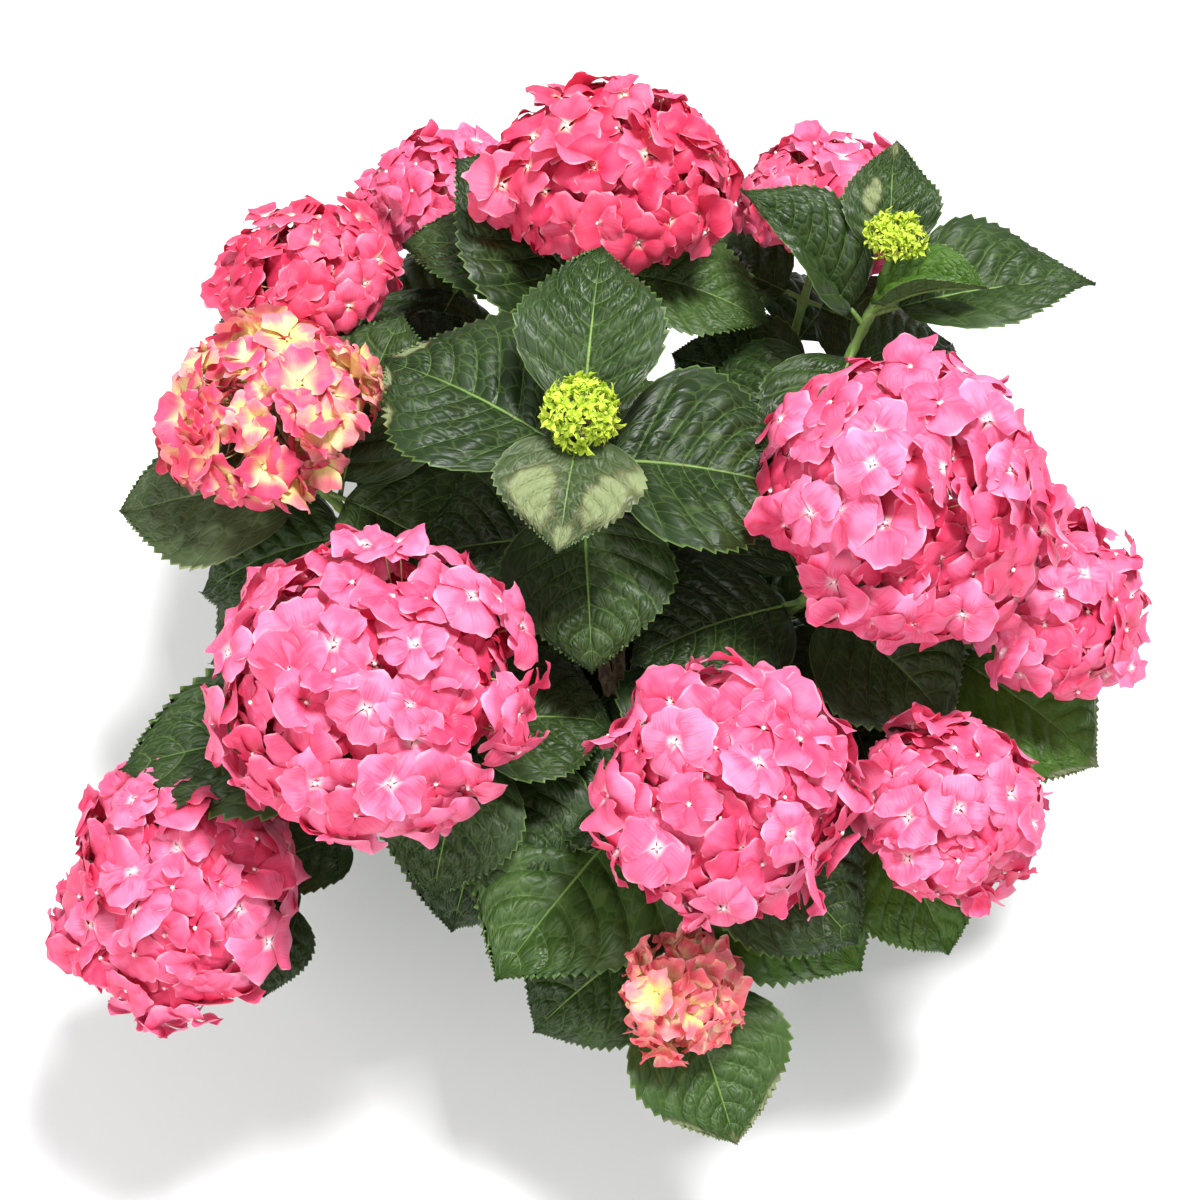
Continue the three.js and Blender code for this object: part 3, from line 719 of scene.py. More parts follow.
class PetalTone(Enum):
    """The tones that florets are dealt. On pink and rose heads the lighter tones go to the highest
    florets and the darker tones to the sunk ones, so they are partly the petals' own tones and
    partly painted light and painted shade.
    """

    PINK_PALE_LIT = PetalFinish("petal_pink_pale_lit", (0.83, 0.118, 0.25), (0.86, 0.205, 0.375),
                            eye=(0.93, 0.7, 0.74), eye_reach=(0.0, 0.24))
    PINK = PetalFinish("petal_pink", (0.82, 0.076, 0.18), (0.85, 0.145, 0.29))
    PINK_DEEP_SHADED = PetalFinish("petal_pink_deep_shaded", (0.69, 0.038, 0.11), (0.8, 0.085, 0.195))
    ROSE_PALE = PetalFinish("petal_rose_pale", (0.79, 0.068, 0.145), (0.84, 0.125, 0.235),
                            eye=(0.93, 0.66, 0.5), eye_reach=(0.02, 0.22))
    ROSE = PetalFinish("petal_rose", (0.71, 0.038, 0.1), (0.8, 0.078, 0.158),
                       eye=(0.92, 0.6, 0.45), eye_reach=(0.02, 0.2))
    ROSE_DEEP_SHADED = PetalFinish("petal_rose_deep_shaded", (0.57, 0.024, 0.075), (0.71, 0.048, 0.125),
                            eye=(0.9, 0.5, 0.36), eye_reach=(0.0, 0.14))
    YOUNG_CREAM = PetalFinish("petal_young_cream", (0.9, 0.36, 0.32), (0.88, 0.22, 0.27),
                              eye=(0.85, 0.8, 0.28), eye_reach=(0.12, 0.8), ragged=0.6)
    YOUNG = PetalFinish("petal_young", (0.86, 0.14, 0.2), (0.84, 0.08, 0.19),
                        eye=(0.93, 0.79, 0.4), eye_reach=(0.08, 0.6), ragged=0.4)
    CORAL = PetalFinish("petal_coral", (0.9, 0.3, 0.27), (0.86, 0.15, 0.19),
                        eye=(0.97, 0.84, 0.52), eye_reach=(0.1, 0.62), ragged=0.35)
    YOUNG_LILAC = PetalFinish("petal_young_lilac", (0.84, 0.13, 0.34), (0.88, 0.28, 0.58),
                              eye=(0.92, 0.75, 0.7), eye_reach=(0.05, 0.3), ragged=0.2)
    BUD = PetalFinish("bud_lime", (0.4, 0.57, 0.028), (0.6, 0.74, 0.08),
                      eye=(0.13, 0.24, 0.012), eye_reach=(0.0, 0.45), line=(0.4, 0.6, 0.04),
                      line_share=0.1, rim=(0.7, 0.8, 0.2), glow=0.12)


class Beads(Enum):
    """The small round bud in the middle of each floret."""

    PALE = PlainFinish("bead_pale", (0.9, 0.6, 0.66), (0.92, 0.8, 0.75), 900, 0.8, 0.1, 0.5)
    CREAM = PlainFinish("bead_cream", (0.85, 0.72, 0.3), (0.7, 0.72, 0.2), 900, 0.8, 0.1, 0.5)
    LIME = PlainFinish("bead_lime", (0.42, 0.56, 0.05), (0.6, 0.7, 0.1), 900, 0.8, 0.1, 0.5)


BARK = StemFinish("cane_bark", (0.21, 0.135, 0.075), (0.33, 0.24, 0.15), (0.07, 0.042, 0.024),
                  (0.1, 0.06, 0.035), 0.85, 0.5, 330.0, 0.8, 0.8)
GREEN_STEM = StemFinish("green_stem", (0.13, 0.24, 0.05), (0.2, 0.31, 0.08), (0.09, 0.17, 0.04),
                        (0.16, 0.07, 0.05), 0.4, 0.7, 420.0, 0.25, 0.5)
STALK = StemFinish("flower_stalk", (0.42, 0.4, 0.16), (0.62, 0.3, 0.26), (0.3, 0.3, 0.1),
                   (0.6, 0.2, 0.22), 0.3, 0.4, 500.0, 0.15, 0.55)
POT_PLASTIC = PlainFinish("pot_plastic", (0.011, 0.011, 0.012), (0.02, 0.02, 0.021), 240.0, 0.6,
                          0.12, 0.42)
POTTING_SOIL = PlainFinish("potting_soil", (0.016, 0.0095, 0.0055), (0.05, 0.03, 0.018), 210.0,
                           0.9, 2.2, 0.92, 0.2)


# ---- The plant's plan ---------------------------------------------------------------------


@dataclass(frozen=True)
class FloretPlan:
    """One kind of floret and how densely a head carries it.

    Attributes:
        slot: The record's material slot of such a head.
        full: Radius of a full-sized head; on smaller heads the florets are smaller too.
        radius: From the middle of the floret to a petal's tip, on a full-sized head.
        area: Share of that head's skin that one floret takes, in square millimetres.
        wide: A petal's width as a share of its length.
        rise: How far a petal climbs from the middle, as a least and most share of its length.
        droop: How far its tip bows back, likewise.
        follow: How much more it bows back for each share that it climbs.
        loose: How far a floret may lean away from the head's skin.
        bead: The finish of the bead in the middle.
        bead_radius: Its half thickness.
        point: How pointed a petal's tip is, as a least and most share.
        size: Least and most size of a floret.
        tones: Petal tones from the highest floret to the deepest, and each one's share; on pink
            and rose heads this puts painted light on the high florets and painted shade on the
            sunk ones.
        cup: Least and most lift of a petal's sides; below zero they turn back.
        sunk: Share of the florets that sit deeper than the rest.
        cells: Faces along and across a petal.
        stray: How far a floret's tone strays from what its depth gives it, which loosens the
            painted light and shade on pink and rose heads.
    """

    slot: str
    full: float
    radius: float
    area: float
    wide: float
    rise: Range
    droop: Range
    follow: float
    loose: float
    bead: Beads
    bead_radius: float
    point: Range
    size: Range
    tones: dict[PetalTone, float]
    cup: Range = (-0.4, 0.22)
    sunk: float = 0.28
    cells: int = 7
    stray: float = 0.045

    def shrink(self, head: "Head") -> float:
        """How small the florets of a head are beside those of a full-sized one."""
        return min(1.0, math.sqrt(head.radius / self.full))


class HeadKind(Enum):
    """The kinds of flower head, each with its florets."""

    PINK = FloretPlan(
        "petal_pink", 90, 21.0, 485, 1.4, (0.05, 1.05), (0.05, 0.35), 0.8, 1.05, Beads.PALE, 1.4,
        (0.0, 0.3), (0.8, 1.12),
        {PetalTone.PINK_PALE_LIT: 0.27, PetalTone.PINK: 0.43, PetalTone.PINK_DEEP_SHADED: 0.3})
    ROSE = FloretPlan(
        "petal_rose", 82, 19.5, 440, 1.34, (0.05, 1.05), (0.05, 0.35), 0.75, 1.05, Beads.PALE,
        1.4, (0.05, 0.4), (0.8, 1.12),
        {PetalTone.ROSE_PALE: 0.22, PetalTone.ROSE: 0.43, PetalTone.ROSE_DEEP_SHADED: 0.35})
    BLUSH = replace(ROSE, tones={
        PetalTone.PINK_PALE_LIT: 0.15, PetalTone.PINK: 0.45, PetalTone.ROSE_PALE: 0.4})
    YOUNG = FloretPlan(
        "petal_young", 70, 17.5, 320, 1.24, (0.4, 1.35), (-0.1, 0.2), 0.45, 1.1, Beads.CREAM,
        1.9, (0.1, 0.45), (0.6, 1.2),
        {PetalTone.YOUNG_CREAM: 0.36, PetalTone.YOUNG: 0.625, PetalTone.YOUNG_LILAC: 0.015},
        (-0.15, 0.3), 0.2, stray=0.3)
    CORAL = FloretPlan(
        "petal_young", 33, 13.0, 185, 1.2, (0.7, 1.5), (-0.1, 0.2), 0.35, 0.9, Beads.CREAM, 1.9,
        (0.1, 0.4), (0.7, 1.15), {PetalTone.CORAL: 0.84, PetalTone.YOUNG_CREAM: 0.16},
        (0.0, 0.45), 0.12, 6, 0.3)
    BUD = FloretPlan(
        "bud_green", 22, 5.0, 34, 0.66, (0.9, 1.6), (-0.2, 0.2), 0.35, 0.6, Beads.LIME, 1.5,
        (0.6, 0.9), (0.7, 1.4), {PetalTone.BUD: 1.0}, (0.0, 0.4), 0.28, 4)


class Dry(NamedTuple):
    """A dried patch on a blade: its middle and half size, as shares of the blade."""

    along: float
    across: float
    long: float
    wide: float


@dataclass(frozen=True)
class Leaf:
    """One leaf: where it leaves its stem, which way it points and how it is shaped."""

    down: float
    turn: float
    rise: float
    length: float
    bend: float = 45.0
    fold: float = 14.0
    tone: LeafTone | None = None
    dry: tuple[Dry, ...] = ()
    twist: float = 0.0
    curl: float = 0.0
    wide: float = 1.0


@dataclass(frozen=True)
class Head:
    """A flower head: its kind, middle, lean, radius and how tall its dome is."""

    kind: HeadKind
    at: Point
    turn: float
    lean: float
    radius: float
    tall: float

    def axis(self) -> np.ndarray:
        """Unit vector up through the head."""
        return heading(self.turn, 90 - self.lean)

    def dome(self, polar: Any, round_by: Any, size: Any) -> np.ndarray:
        """Points of the head's skin in its own frame.

        Args:
            polar: Degrees from the top.
            round_by: Degrees round the axis.
            size: Share of the head's radius.

        Returns:
            The points.
        """
        way = heading(round_by, 90 - np.asarray(polar))
        squash = np.where(way[..., 2] > 0, self.tall, HEAD_UNDER)
        scale = np.stack([np.ones_like(squash), np.ones_like(squash), squash], -1)
        return way * scale * self.radius * np.asarray(size)[..., None]


@dataclass(frozen=True)
class Shoot:
    """One cane with the leafy shoot, and often the flower head, that it carries."""

    name: str
    leaves: tuple[Leaf, ...]
    head: Head | None = None
    tip: Point | None = None
    fork: tuple[str, float] | None = None
    upright: bool = False

    def green_length(self) -> float:
        """Length of the green part of the shoot, down from its tip."""
        return max(leaf.down for leaf in self.leaves) + SHOOT_FOOT


GAP = 0.3
HEAD_UNDER, HEAD_BASE, FLORET_POLAR = 0.62, 0.45, 112.0
STUMP_TOP = 190.0
CANE_RISE, LOW_RISE, LOW_END_RISE = 62.0, 42.0, 60.0
CANE_RING, MIDDLE_RING, CANE_SINK, LOW_SINK = 14.0, 2.0, 5.0, 18.0
CANE_PULL, FORK_PULL, FORK_SPREAD = (0.33, 0.36), (0.3, 0.3), 0.8
CANE_START, FORK_START, SHOOT_START, SHOOT_END = 4.6, 4.0, 3.4, 2.6
SHOOT_FOOT = 10.0

P, R, H, Y, C, B = HeadKind
DEEP, MID, LIGHT, FRESH, GREY = LeafTone
SHOOTS = (
    Shoot("centre_bud", upright=True, head=Head(B, (-25, 40, 480), 270, 12, 19.5, 0.7), leaves=(
        Leaf(22, 84, 32, 122, 36, tone=MID, wide=0.8),
        Leaf(12, 262, 22, 86, 58, 5, tone=GREY, wide=1.08, curl=0.1,
             dry=(Dry(0.6, 0.62, 0.28, 0.45), Dry(0.6, -0.5, 0.32, 0.5), Dry(0.92, 0.1, 0.14, 0.8),
                  Dry(0.4, 0.95, 0.16, 0.2))),
        Leaf(48, 148, 14, 143, 34, tone=DEEP,
             dry=(Dry(0.9, -0.75, 0.08, 0.4), Dry(0.9, 0.8, 0.07, 0.3),
                  Dry(0.72, 0.95, 0.06, 0.14))),
        Leaf(48, 356, 6, 138, 38, tone=DEEP, wide=1.06), Leaf(88, 273, 10, 116, 48, tone=MID),
        Leaf(88, 85, 14, 120, 48), Leaf(130, 180, 5, 120), Leaf(130, 0, -7, 120))),
    Shoot("right_bud", head=Head(B, (170, 215, 430), 60, 8, 17, 0.6), leaves=(
        Leaf(18, 86, 42, 80, 35, tone=MID, wide=0.88, curl=0.12,
             dry=(Dry(0.5, 0.4, 0.2, 0.22), Dry(0.97, 0, 0.1, 1.0))),
        Leaf(50, 340, 55, 88, 45, 60, tone=FRESH, twist=-25, wide=1.1),
        Leaf(60, 149, 45, 122, 18, 50, tone=MID, twist=12),
        Leaf(52, 7, 18, 150, 34, 30, tone=MID, twist=-20, wide=0.8), Leaf(90, 28, 0, 95, 40),
        Leaf(95, 198, 2, 98), Leaf(125, 150, 14, 110, 40), Leaf(75, 250, 5, 105),
        Leaf(125, 300, -3, 110))),
    Shoot("top", head=Head(R, (-8, 259, 430), 85, 22, 80, 0.8), leaves=(
        Leaf(30, 167, 17, 142, 38, tone=MID, wide=0.8), Leaf(35, 100, 3, 160, 40),
        Leaf(25, 347, 10, 114, 48, tone=LIGHT, wide=0.82), Leaf(60, 146, 50, 150, 30),
        Leaf(60, 45, 10, 130), Leaf(100, 95, 5, 120), Leaf(100, 275, 10, 110))),
    Shoot("left_young", head=Head(Y, (-214, 109, 384), 150, 22, 66, 0.8), leaves=(
        Leaf(35, 182, 7, 136, 34, tone=GREY, dry=(Dry(0.5, 1.0, 0.22, 0.06),)),
        Leaf(35, 335, 2, 120, 40, tone=MID), Leaf(48, 68, 52, 134, 50, tone=MID),
        Leaf(75, 190, 0, 125), Leaf(90, 66, 6, 105), Leaf(115, 196, 0, 158, tone=GREY),
        Leaf(100, 330, 0, 105), Leaf(115, 20, 5, 110))),
    Shoot("right_big", head=Head(P, (158, 27, 412), 10, 22, 91, 0.97), leaves=(
        Leaf(60, 317, 6, 124, 42, tone=MID), Leaf(60, 110, 8, 120, 40), Leaf(95, 30, -3, 120),
        Leaf(66, 206, 22, 122, 35), Leaf(135, 270, -8, 113), Leaf(125, 115, 20, 110))),
    Shoot("front_left", head=Head(P, (-140, -90, 400), 213, 18, 92, 0.85), leaves=(
        Leaf(55, 8, 12, 108, 50, tone=MID), Leaf(34, 187, 8, 184, 28, wide=0.68),
        Leaf(85, 256, 0, 106, 50), Leaf(85, 97, 20, 136), Leaf(120, 271, 11, 114),
        Leaf(125, 250, -10, 135), Leaf(115, 165, 15, 140, tone=GREY))),
    Shoot("front_mid", head=Head(P, (55, -135, 365), 295, 15, 76, 0.85), leaves=(
        Leaf(45, 323, 0, 130), Leaf(45, 83, 14, 125, 50), Leaf(70, 176, 5, 95),
        Leaf(70, 320, -5, 155, 40, tone=FRESH), Leaf(105, 232, 12, 170, 32, tone=LIGHT),
        Leaf(105, 50, 25, 105))),
    Shoot("back_left", fork=("top", 0.35), head=Head(H, (-126, 334, 336), 112, 32, 60, 0.8),
          leaves=(Leaf(35, 61, 6, 140, tone=DEEP), Leaf(30, 250, 5, 110), Leaf(70, 165, 5, 120),
                  Leaf(70, 345, 10, 100))),
    Shoot("left_upper", fork=("left_young", 0.35),
          head=Head(R, (-206, 233, 369), 130, 28, 64, 0.75), leaves=(
              Leaf(45, 137, 1, 142, 40), Leaf(35, 317, 5, 95, 50, tone=MID),
              Leaf(85, 170, 8, 150), Leaf(85, 60, 20, 115), Leaf(90, 5, 5, 105))),
    Shoot("back_right", fork=("right_bud", 0.3), head=Head(H, (141, 300, 365), 65, 32, 66, 0.75),
          leaves=(Leaf(35, 150, 8, 110), Leaf(35, 330, 5, 105), Leaf(75, 60, 0, 115),
                  Leaf(75, 240, 6, 105))),
    Shoot("right_low", fork=("right_big", 0.3), head=Head(P, (259, 6, 330), 0, 35, 64, 0.85),
          leaves=(Leaf(50, 327, -4, 126, 32, tone=FRESH, wide=1.05,
                       dry=(Dry(0.8, 0.95, 0.24, 0.15), Dry(0.9, -0.9, 0.2, 0.2),
                            Dry(0.98, 0, 0.08, 1.0))),
                  Leaf(40, 110, 5, 110), Leaf(80, 20, -10, 110), Leaf(80, 215, 20, 95, 35))),
    Shoot("right_front", fork=("right_big", 0.2),
          head=Head(P, (190, -120, 310), 330, 30, 60, 0.85), leaves=(
              Leaf(45, 300, -9, 108, 40, tone=FRESH), Leaf(40, 100, 15, 100),
              Leaf(75, 350, -16, 110), Leaf(75, 190, 15, 90))),
    Shoot("far_left", fork=("front_left", 0.3),
          head=Head(P, (-264, -152, 269), 210, 30, 80, 0.7), leaves=(
              Leaf(40, 268, -5, 72, 50), Leaf(40, 110, 5, 100), Leaf(75, 205, -8, 115),
              Leaf(105, 212, 40, 95, 60, wide=0.8))),
    Shoot("front_young", fork=("front_mid", 0.3),
          head=Head(C, (33, -213, 262), 280, 20, 33, 0.95), leaves=(
              Leaf(30, 290, 2, 112, tone=LIGHT,
                   dry=(Dry(0.84, 1.0, 0.26, 0.2), Dry(0.84, -1.0, 0.22, 0.17),
                        Dry(1.0, 0, 0.09, 1.0))),
              Leaf(30, 110, -12, 80), Leaf(60, 215, 0, 110, 40), Leaf(50, 35, 0, 100))),
    Shoot("low_front", tip=(-10, -95, 255), leaves=(
        Leaf(20, 244, -10, 110, 55), Leaf(5, 60, 35, 90, 50), Leaf(30, 163, -8, 115, 50),
        Leaf(30, 330, 13, 110, 50), Leaf(60, 245, 0, 105, 50))),
    Shoot("low_right", tip=(110, -8, 245), leaves=(
        Leaf(5, 345, 20, 110, 55), Leaf(5, 160, 15, 68, 70), Leaf(30, 255, 5, 110, 50),
        Leaf(30, 75, 5, 110, 50), Leaf(60, 340, -5, 105, 50))),
    Shoot("low_back", tip=(30, 110, 255), leaves=(
        Leaf(5, 90, 20, 115, 55), Leaf(5, 270, 35, 85, 50), Leaf(30, 0, 5, 110, 50),
        Leaf(30, 180, 2, 110, 50), Leaf(60, 85, -5, 105, 50))),
    Shoot("low_left", tip=(-110, 10, 255), leaves=(
        Leaf(5, 180, 20, 115, 55), Leaf(15, 0, 15, 85, 50), Leaf(30, 95, 5, 110, 50),
        Leaf(30, 260, 2, 103, 40), Leaf(60, 175, -5, 105, 50))),
)


class StemCurve:
    """A curve of four control points that can be read by its share of length."""

    def __init__(self, *controls: np.ndarray) -> None:
        """Takes the four control points."""
        self.controls = np.array(controls, float)
        self.steps = np.linspace(0, 1, 201)
        table = self.point(self.steps)
        gaps = np.linalg.norm(np.diff(table, axis=0), axis=1)
        self.lengths = np.concatenate([[0], np.cumsum(gaps)])
        self.length = float(self.lengths[-1])

    def point(self, t: Any) -> np.ndarray:
        """Points of the curve at its own parameter."""
        t = np.asarray(t, float)[..., None]
        a, b, c, d = self.controls
        return (1 - t) ** 3 * a + 3 * (1 - t) ** 2 * t * b + 3 * (1 - t) * t * t * c + t ** 3 * d

    def tangent(self, t: float) -> np.ndarray:
        """Unit direction of the curve at its own parameter."""
        a, b, c, d = self.controls
        return unit((1 - t) ** 2 * (b - a) + 2 * (1 - t) * t * (c - b) + t * t * (d - c))

    def up_from_end(self, down: Any) -> np.ndarray:
        """Points at distances measured back from the curve's end."""
        return self.point(np.interp(self.length - np.asarray(down), self.lengths, self.steps))


def azimuth(point: Sequence[float]) -> float:
    """Degrees from +X round to a point, seen from above."""
    return math.degrees(math.atan2(point[1], point[0]))


def stem_curve(shoot: Shoot, curves: dict[str, StemCurve]) -> StemCurve:
    """The curve of a cane and of the green shoot that carries it on to its tip.

    Args:
        shoot: The shoot.
        curves: The curves made so far, by shoot name.

    Returns:
        The shoot's curve.
    """
    if shoot.head:
        axis = shoot.head.axis()
        tip = np.array(shoot.head.at) - axis * HEAD_BASE * shoot.head.radius
    else:
        tip = np.array(shoot.tip, float)
        axis = heading(azimuth(tip), LOW_END_RISE)
    if shoot.fork:
        parent, share = curves[shoot.fork[0]], shoot.fork[1]
        start = parent.point(share)
        leave = unit(parent.tangent(share) + FORK_SPREAD * unit(tip - start))
        pull = FORK_PULL
    else:
        ring = MIDDLE_RING if shoot.upright else CANE_RING
        start = heading(azimuth(tip), 0) * ring
        start[2] = STUMP_TOP - (CANE_SINK if shoot.head else LOW_SINK)
        leave = heading(azimuth(tip), CANE_RISE if shoot.head else LOW_RISE)
        pull = CANE_PULL
    reach = float(np.linalg.norm(tip - start))
    return StemCurve(start, start + leave * pull[0] * reach, tip - axis * pull[1] * reach, tip)


# ---- Leaves -------------------------------------------------------------------------------


@dataclass(frozen=True)
class Blade:
    """A toothed, veined and quilted leaf blade, laid out along its side veins."""

    veins: int = 8
    teeth_to_a_vein: int = 3
    rows_to_a_tooth: int = 3
    columns: tuple[float, ...] = (0, 0.022, 0.1, 0.2, 0.31, 0.42, 0.53, 0.64, 0.75, 0.85, 0.93, 1)
    stalk: float = 0.13
    width: float = 1.06
    sweep: float = 0.4
    tooth: float = 0.024
    quilt: float = 0.038
    ripple: float = 0.022

    @staticmethod
    def outline(along: np.ndarray) -> np.ndarray:
        """Half width as a share of the widest, from the blade's base (0) to its tip (1)."""
        return np.sin(np.pi * np.clip(along, 0, 1) ** 0.82) ** (0.62 + 0.55 * along)

    def frame(self, leaf: Leaf, base: np.ndarray, along: np.ndarray) -> tuple[
            np.ndarray, np.ndarray, np.ndarray]:
        """The drooping midrib.

        Args:
            leaf: The leaf.
            base: Where it leaves its stem.
            along: Shares of the blade's length.

        Returns:
            Points of the midrib, the sideways direction and the upward directions.
        """
        blade = leaf.length * (1 - self.stalk)
        first, sweep = math.radians(leaf.rise), math.radians(leaf.bend)
        now = first - sweep * along
        outward = blade * (math.sin(first) - np.sin(now)) / sweep
        upward = blade * (np.cos(now) - math.cos(first)) / sweep
        middle = (base + heading(leaf.turn, leaf.rise) * leaf.length * self.stalk
                  + heading(leaf.turn, 0) * outward[..., None] + UP * upward[..., None])
        return middle, heading(leaf.turn + 90, 0), heading(leaf.turn, np.degrees(now) + 90)

    def sheet(self, leaf: Leaf, base: np.ndarray, random: np.random.Generator) -> tuple[
            Sheet, dict[str, np.ndarray]]:
        """Builds one blade.

        Args:
            leaf: The leaf.
            base: Where it leaves its stem.
            random: Random numbers of its own.

        Returns:
            The sheet and the numbers that its points carry.
        """
        blade = leaf.length * (1 - self.stalk)
        teeth = self.veins * self.teeth_to_a_vein
        rows = teeth * self.rows_to_a_tooth
        share = np.arange(rows + 1) / rows
        half_columns = np.array(self.columns)
        s = np.concatenate([half_columns[::-1], -half_columns[1:]])
        t, s = np.meshgrid(share, s, indexing="ij")
        aside = np.abs(s)
        uneven = np.where(s > 0, random.uniform(-0.03, 0.03), random.uniform(-0.03, 0.03))
        start = t ** 1.1
        swept = (self.sweep + uneven) * np.sin(np.pi * t ** 0.85) * (1 - 0.35 * t)
        along = np.clip(start + swept * aside ** 1.25, 0, 1)
        half = 0.5 * self.width * leaf.wide * blade * self.outline(along)
        half = np.maximum(half, 0.5)
        row = np.arange(rows + 1) % self.rows_to_a_tooth
        saw = (row / (self.rows_to_a_tooth - 1))[:, None]
        depth = self.tooth * blade * np.clip(6 * t, 0, 1) * np.clip(4 * (1 - t), 0.35, 1)
        depth = depth * (1 + 0.25 * np.sin(2.1 * t * teeth + random.uniform(0, 6)))
        edge = smooth(0.9, 1.0, aside)
        x = half * aside + edge * depth * (saw - 0.45)
        ahead = np.clip(along + edge * 0.6 * depth * (saw - 0.2) / blade, 0, 1.015)
        middle, across, up = self.frame(leaf, base, ahead)
        phase = t * self.veins
        fold = math.radians(leaf.fold)
        lift = x * math.sin(fold) * (1 - 0.45 * aside ** 2)
        arch = np.abs(np.sin(np.pi * phase)) ** 0.65
        inner = np.clip(aside / 0.12, 0, 1) * (1 - 0.75 * smooth(0.75, 1.0, aside))
        quilt = self.quilt * blade * np.clip(half / (0.3 * blade), 0, 1)
        lumps = 0.8 + 0.3 * np.sin(15 * aside + 4 * phase + random.uniform(0, 6))
        lift += quilt * inner * (arch * lumps - 0.4)
        lift -= 0.7 * np.exp(-(aside / 0.035) ** 2) * np.clip(8 * (1 - along), 0, 1)
        for side in (-1, 1):
            wave = np.sin(2 * np.pi * (random.uniform(1.3, 2.2) * along + random.uniform(0, 1)))
            lift += np.where(np.sign(s) == side, self.ripple * blade * wave * aside ** 2.2, 0)
        lift += leaf.curl * blade * smooth(0.62, 1.0, along) ** 2
        swell = random.uniform(0.4, 1.0) * 0.012 * blade
        lift += swell * np.sin(5 * along + random.uniform(0, 6)) * np.cos(3.5 * s)
        turn = np.radians(leaf.twist + random.uniform(-7, 7)) * smooth(0.1, 1.0, along)
        flat = np.sign(s) * x * math.cos(fold)
        flat, lift = (flat * np.cos(turn) - lift * np.sin(turn),
                      flat * np.sin(turn) + lift * np.cos(turn))
        points = middle + across * flat[..., None] + up * lift[..., None]
        dry = np.zeros_like(along)
        for patch in leaf.dry:
            far = np.hypot((along - patch.along) / patch.long, (s - patch.across) / patch.wide)
            rag = 0.14 * np.sin(9 * along + 7 * s) + 0.1 * np.sin(23 * along - 17 * s)
            dry = np.maximum(dry, np.clip(1.25 - far + rag, 0, 1))
        marks = {"ribs": phase, "across": s, "dry": dry}
        return grid(points), {key: value.ravel() for key, value in marks.items()}


# ---- Florets ------------------------------------------------------------------------------


@dataclass(frozen=True)
class Petal:
    """A broad thin petal on a narrow claw."""

    claw: float = 0.12
    wave: Range = (0.03, 0.1)
    roll: float = 0.5
    flare: float = 0.12
    notch: float = 0.045

    def sheet(self, length: float, cupped: float, plan: FloretPlan,
              random: np.random.Generator) -> tuple[np.ndarray, dict[str, np.ndarray]]:
        """Builds one petal that points along X and faces up.

        Args:
            length: From the floret's middle to the petal's tip.
            cupped: How far the floret is cupped, from 0 to 1.
            plan: The kind of floret.
            random: Random numbers of its own.

        Returns:
            Rows and columns of points, and the numbers that they carry.
        """
        step = np.linspace(-1, 1, plan.cells + 1)
        v, s = np.meshgrid(step, step[::-1], indexing="ij")
        x, y = s * np.sqrt(1 - v * v / 2), v * np.sqrt(1 - s * s / 2)
        along = (y + 1) / 2
        point = random.uniform(*plan.point)
        tip = 1 + point * smooth(0.3, 1.0, y) * np.exp(-(x / 0.3) ** 2) * 0.5
        narrow = self.claw + (1 - self.claw) * smooth(0.0, 0.32, along)
        narrow = narrow * (1 + self.flare * (along - 0.5))
        narrow = narrow * (1 - point * 0.55 * smooth(0.55, 1.0, along))
        reach, angle = np.hypot(x, y), np.arctan2(y, x)
        wide = plan.wide * random.uniform(0.92, 1.1)
        notch = 1 + self.notch * reach ** 4 * np.sin(
            random.integers(5, 10) * angle + random.uniform(0, 6))
        side = 0.5 * wide * length * x * narrow * notch
        skew = random.uniform(-0.12, 0.12)
        out = length * (0.03 + 0.97 * along * tip * notch)
        side = side + skew * length * along ** 2
        own = min(1.0, max(0.0, cupped + random.uniform(-0.2, 0.2)))
        rise = plan.rise[0] + (plan.rise[1] - plan.rise[0]) * own
        droop = plan.follow * rise + random.uniform(*plan.droop)
        cup = random.uniform(*plan.cup)
        wave = random.uniform(*self.wave) * np.sin(
            random.integers(3, 6) * angle + random.uniform(0, 6)) * reach ** 3
        crease = -0.03 * np.exp(-(x / 0.14) ** 2) * along
        rolled = random.uniform(-0.16, 0.05) * smooth(0.66, 1.0, reach) * smooth(0.2, 0.6, along)
        lift = length * (rise * along - droop * along ** 2 + cup * x * x * narrow + wave + crease
                         + rolled)
        lift = lift + random.uniform(-self.roll, self.roll) * side * along
        points = np.stack([out, side, lift], -1)
        return points, {"along": along.ravel(), "across": x.ravel()}


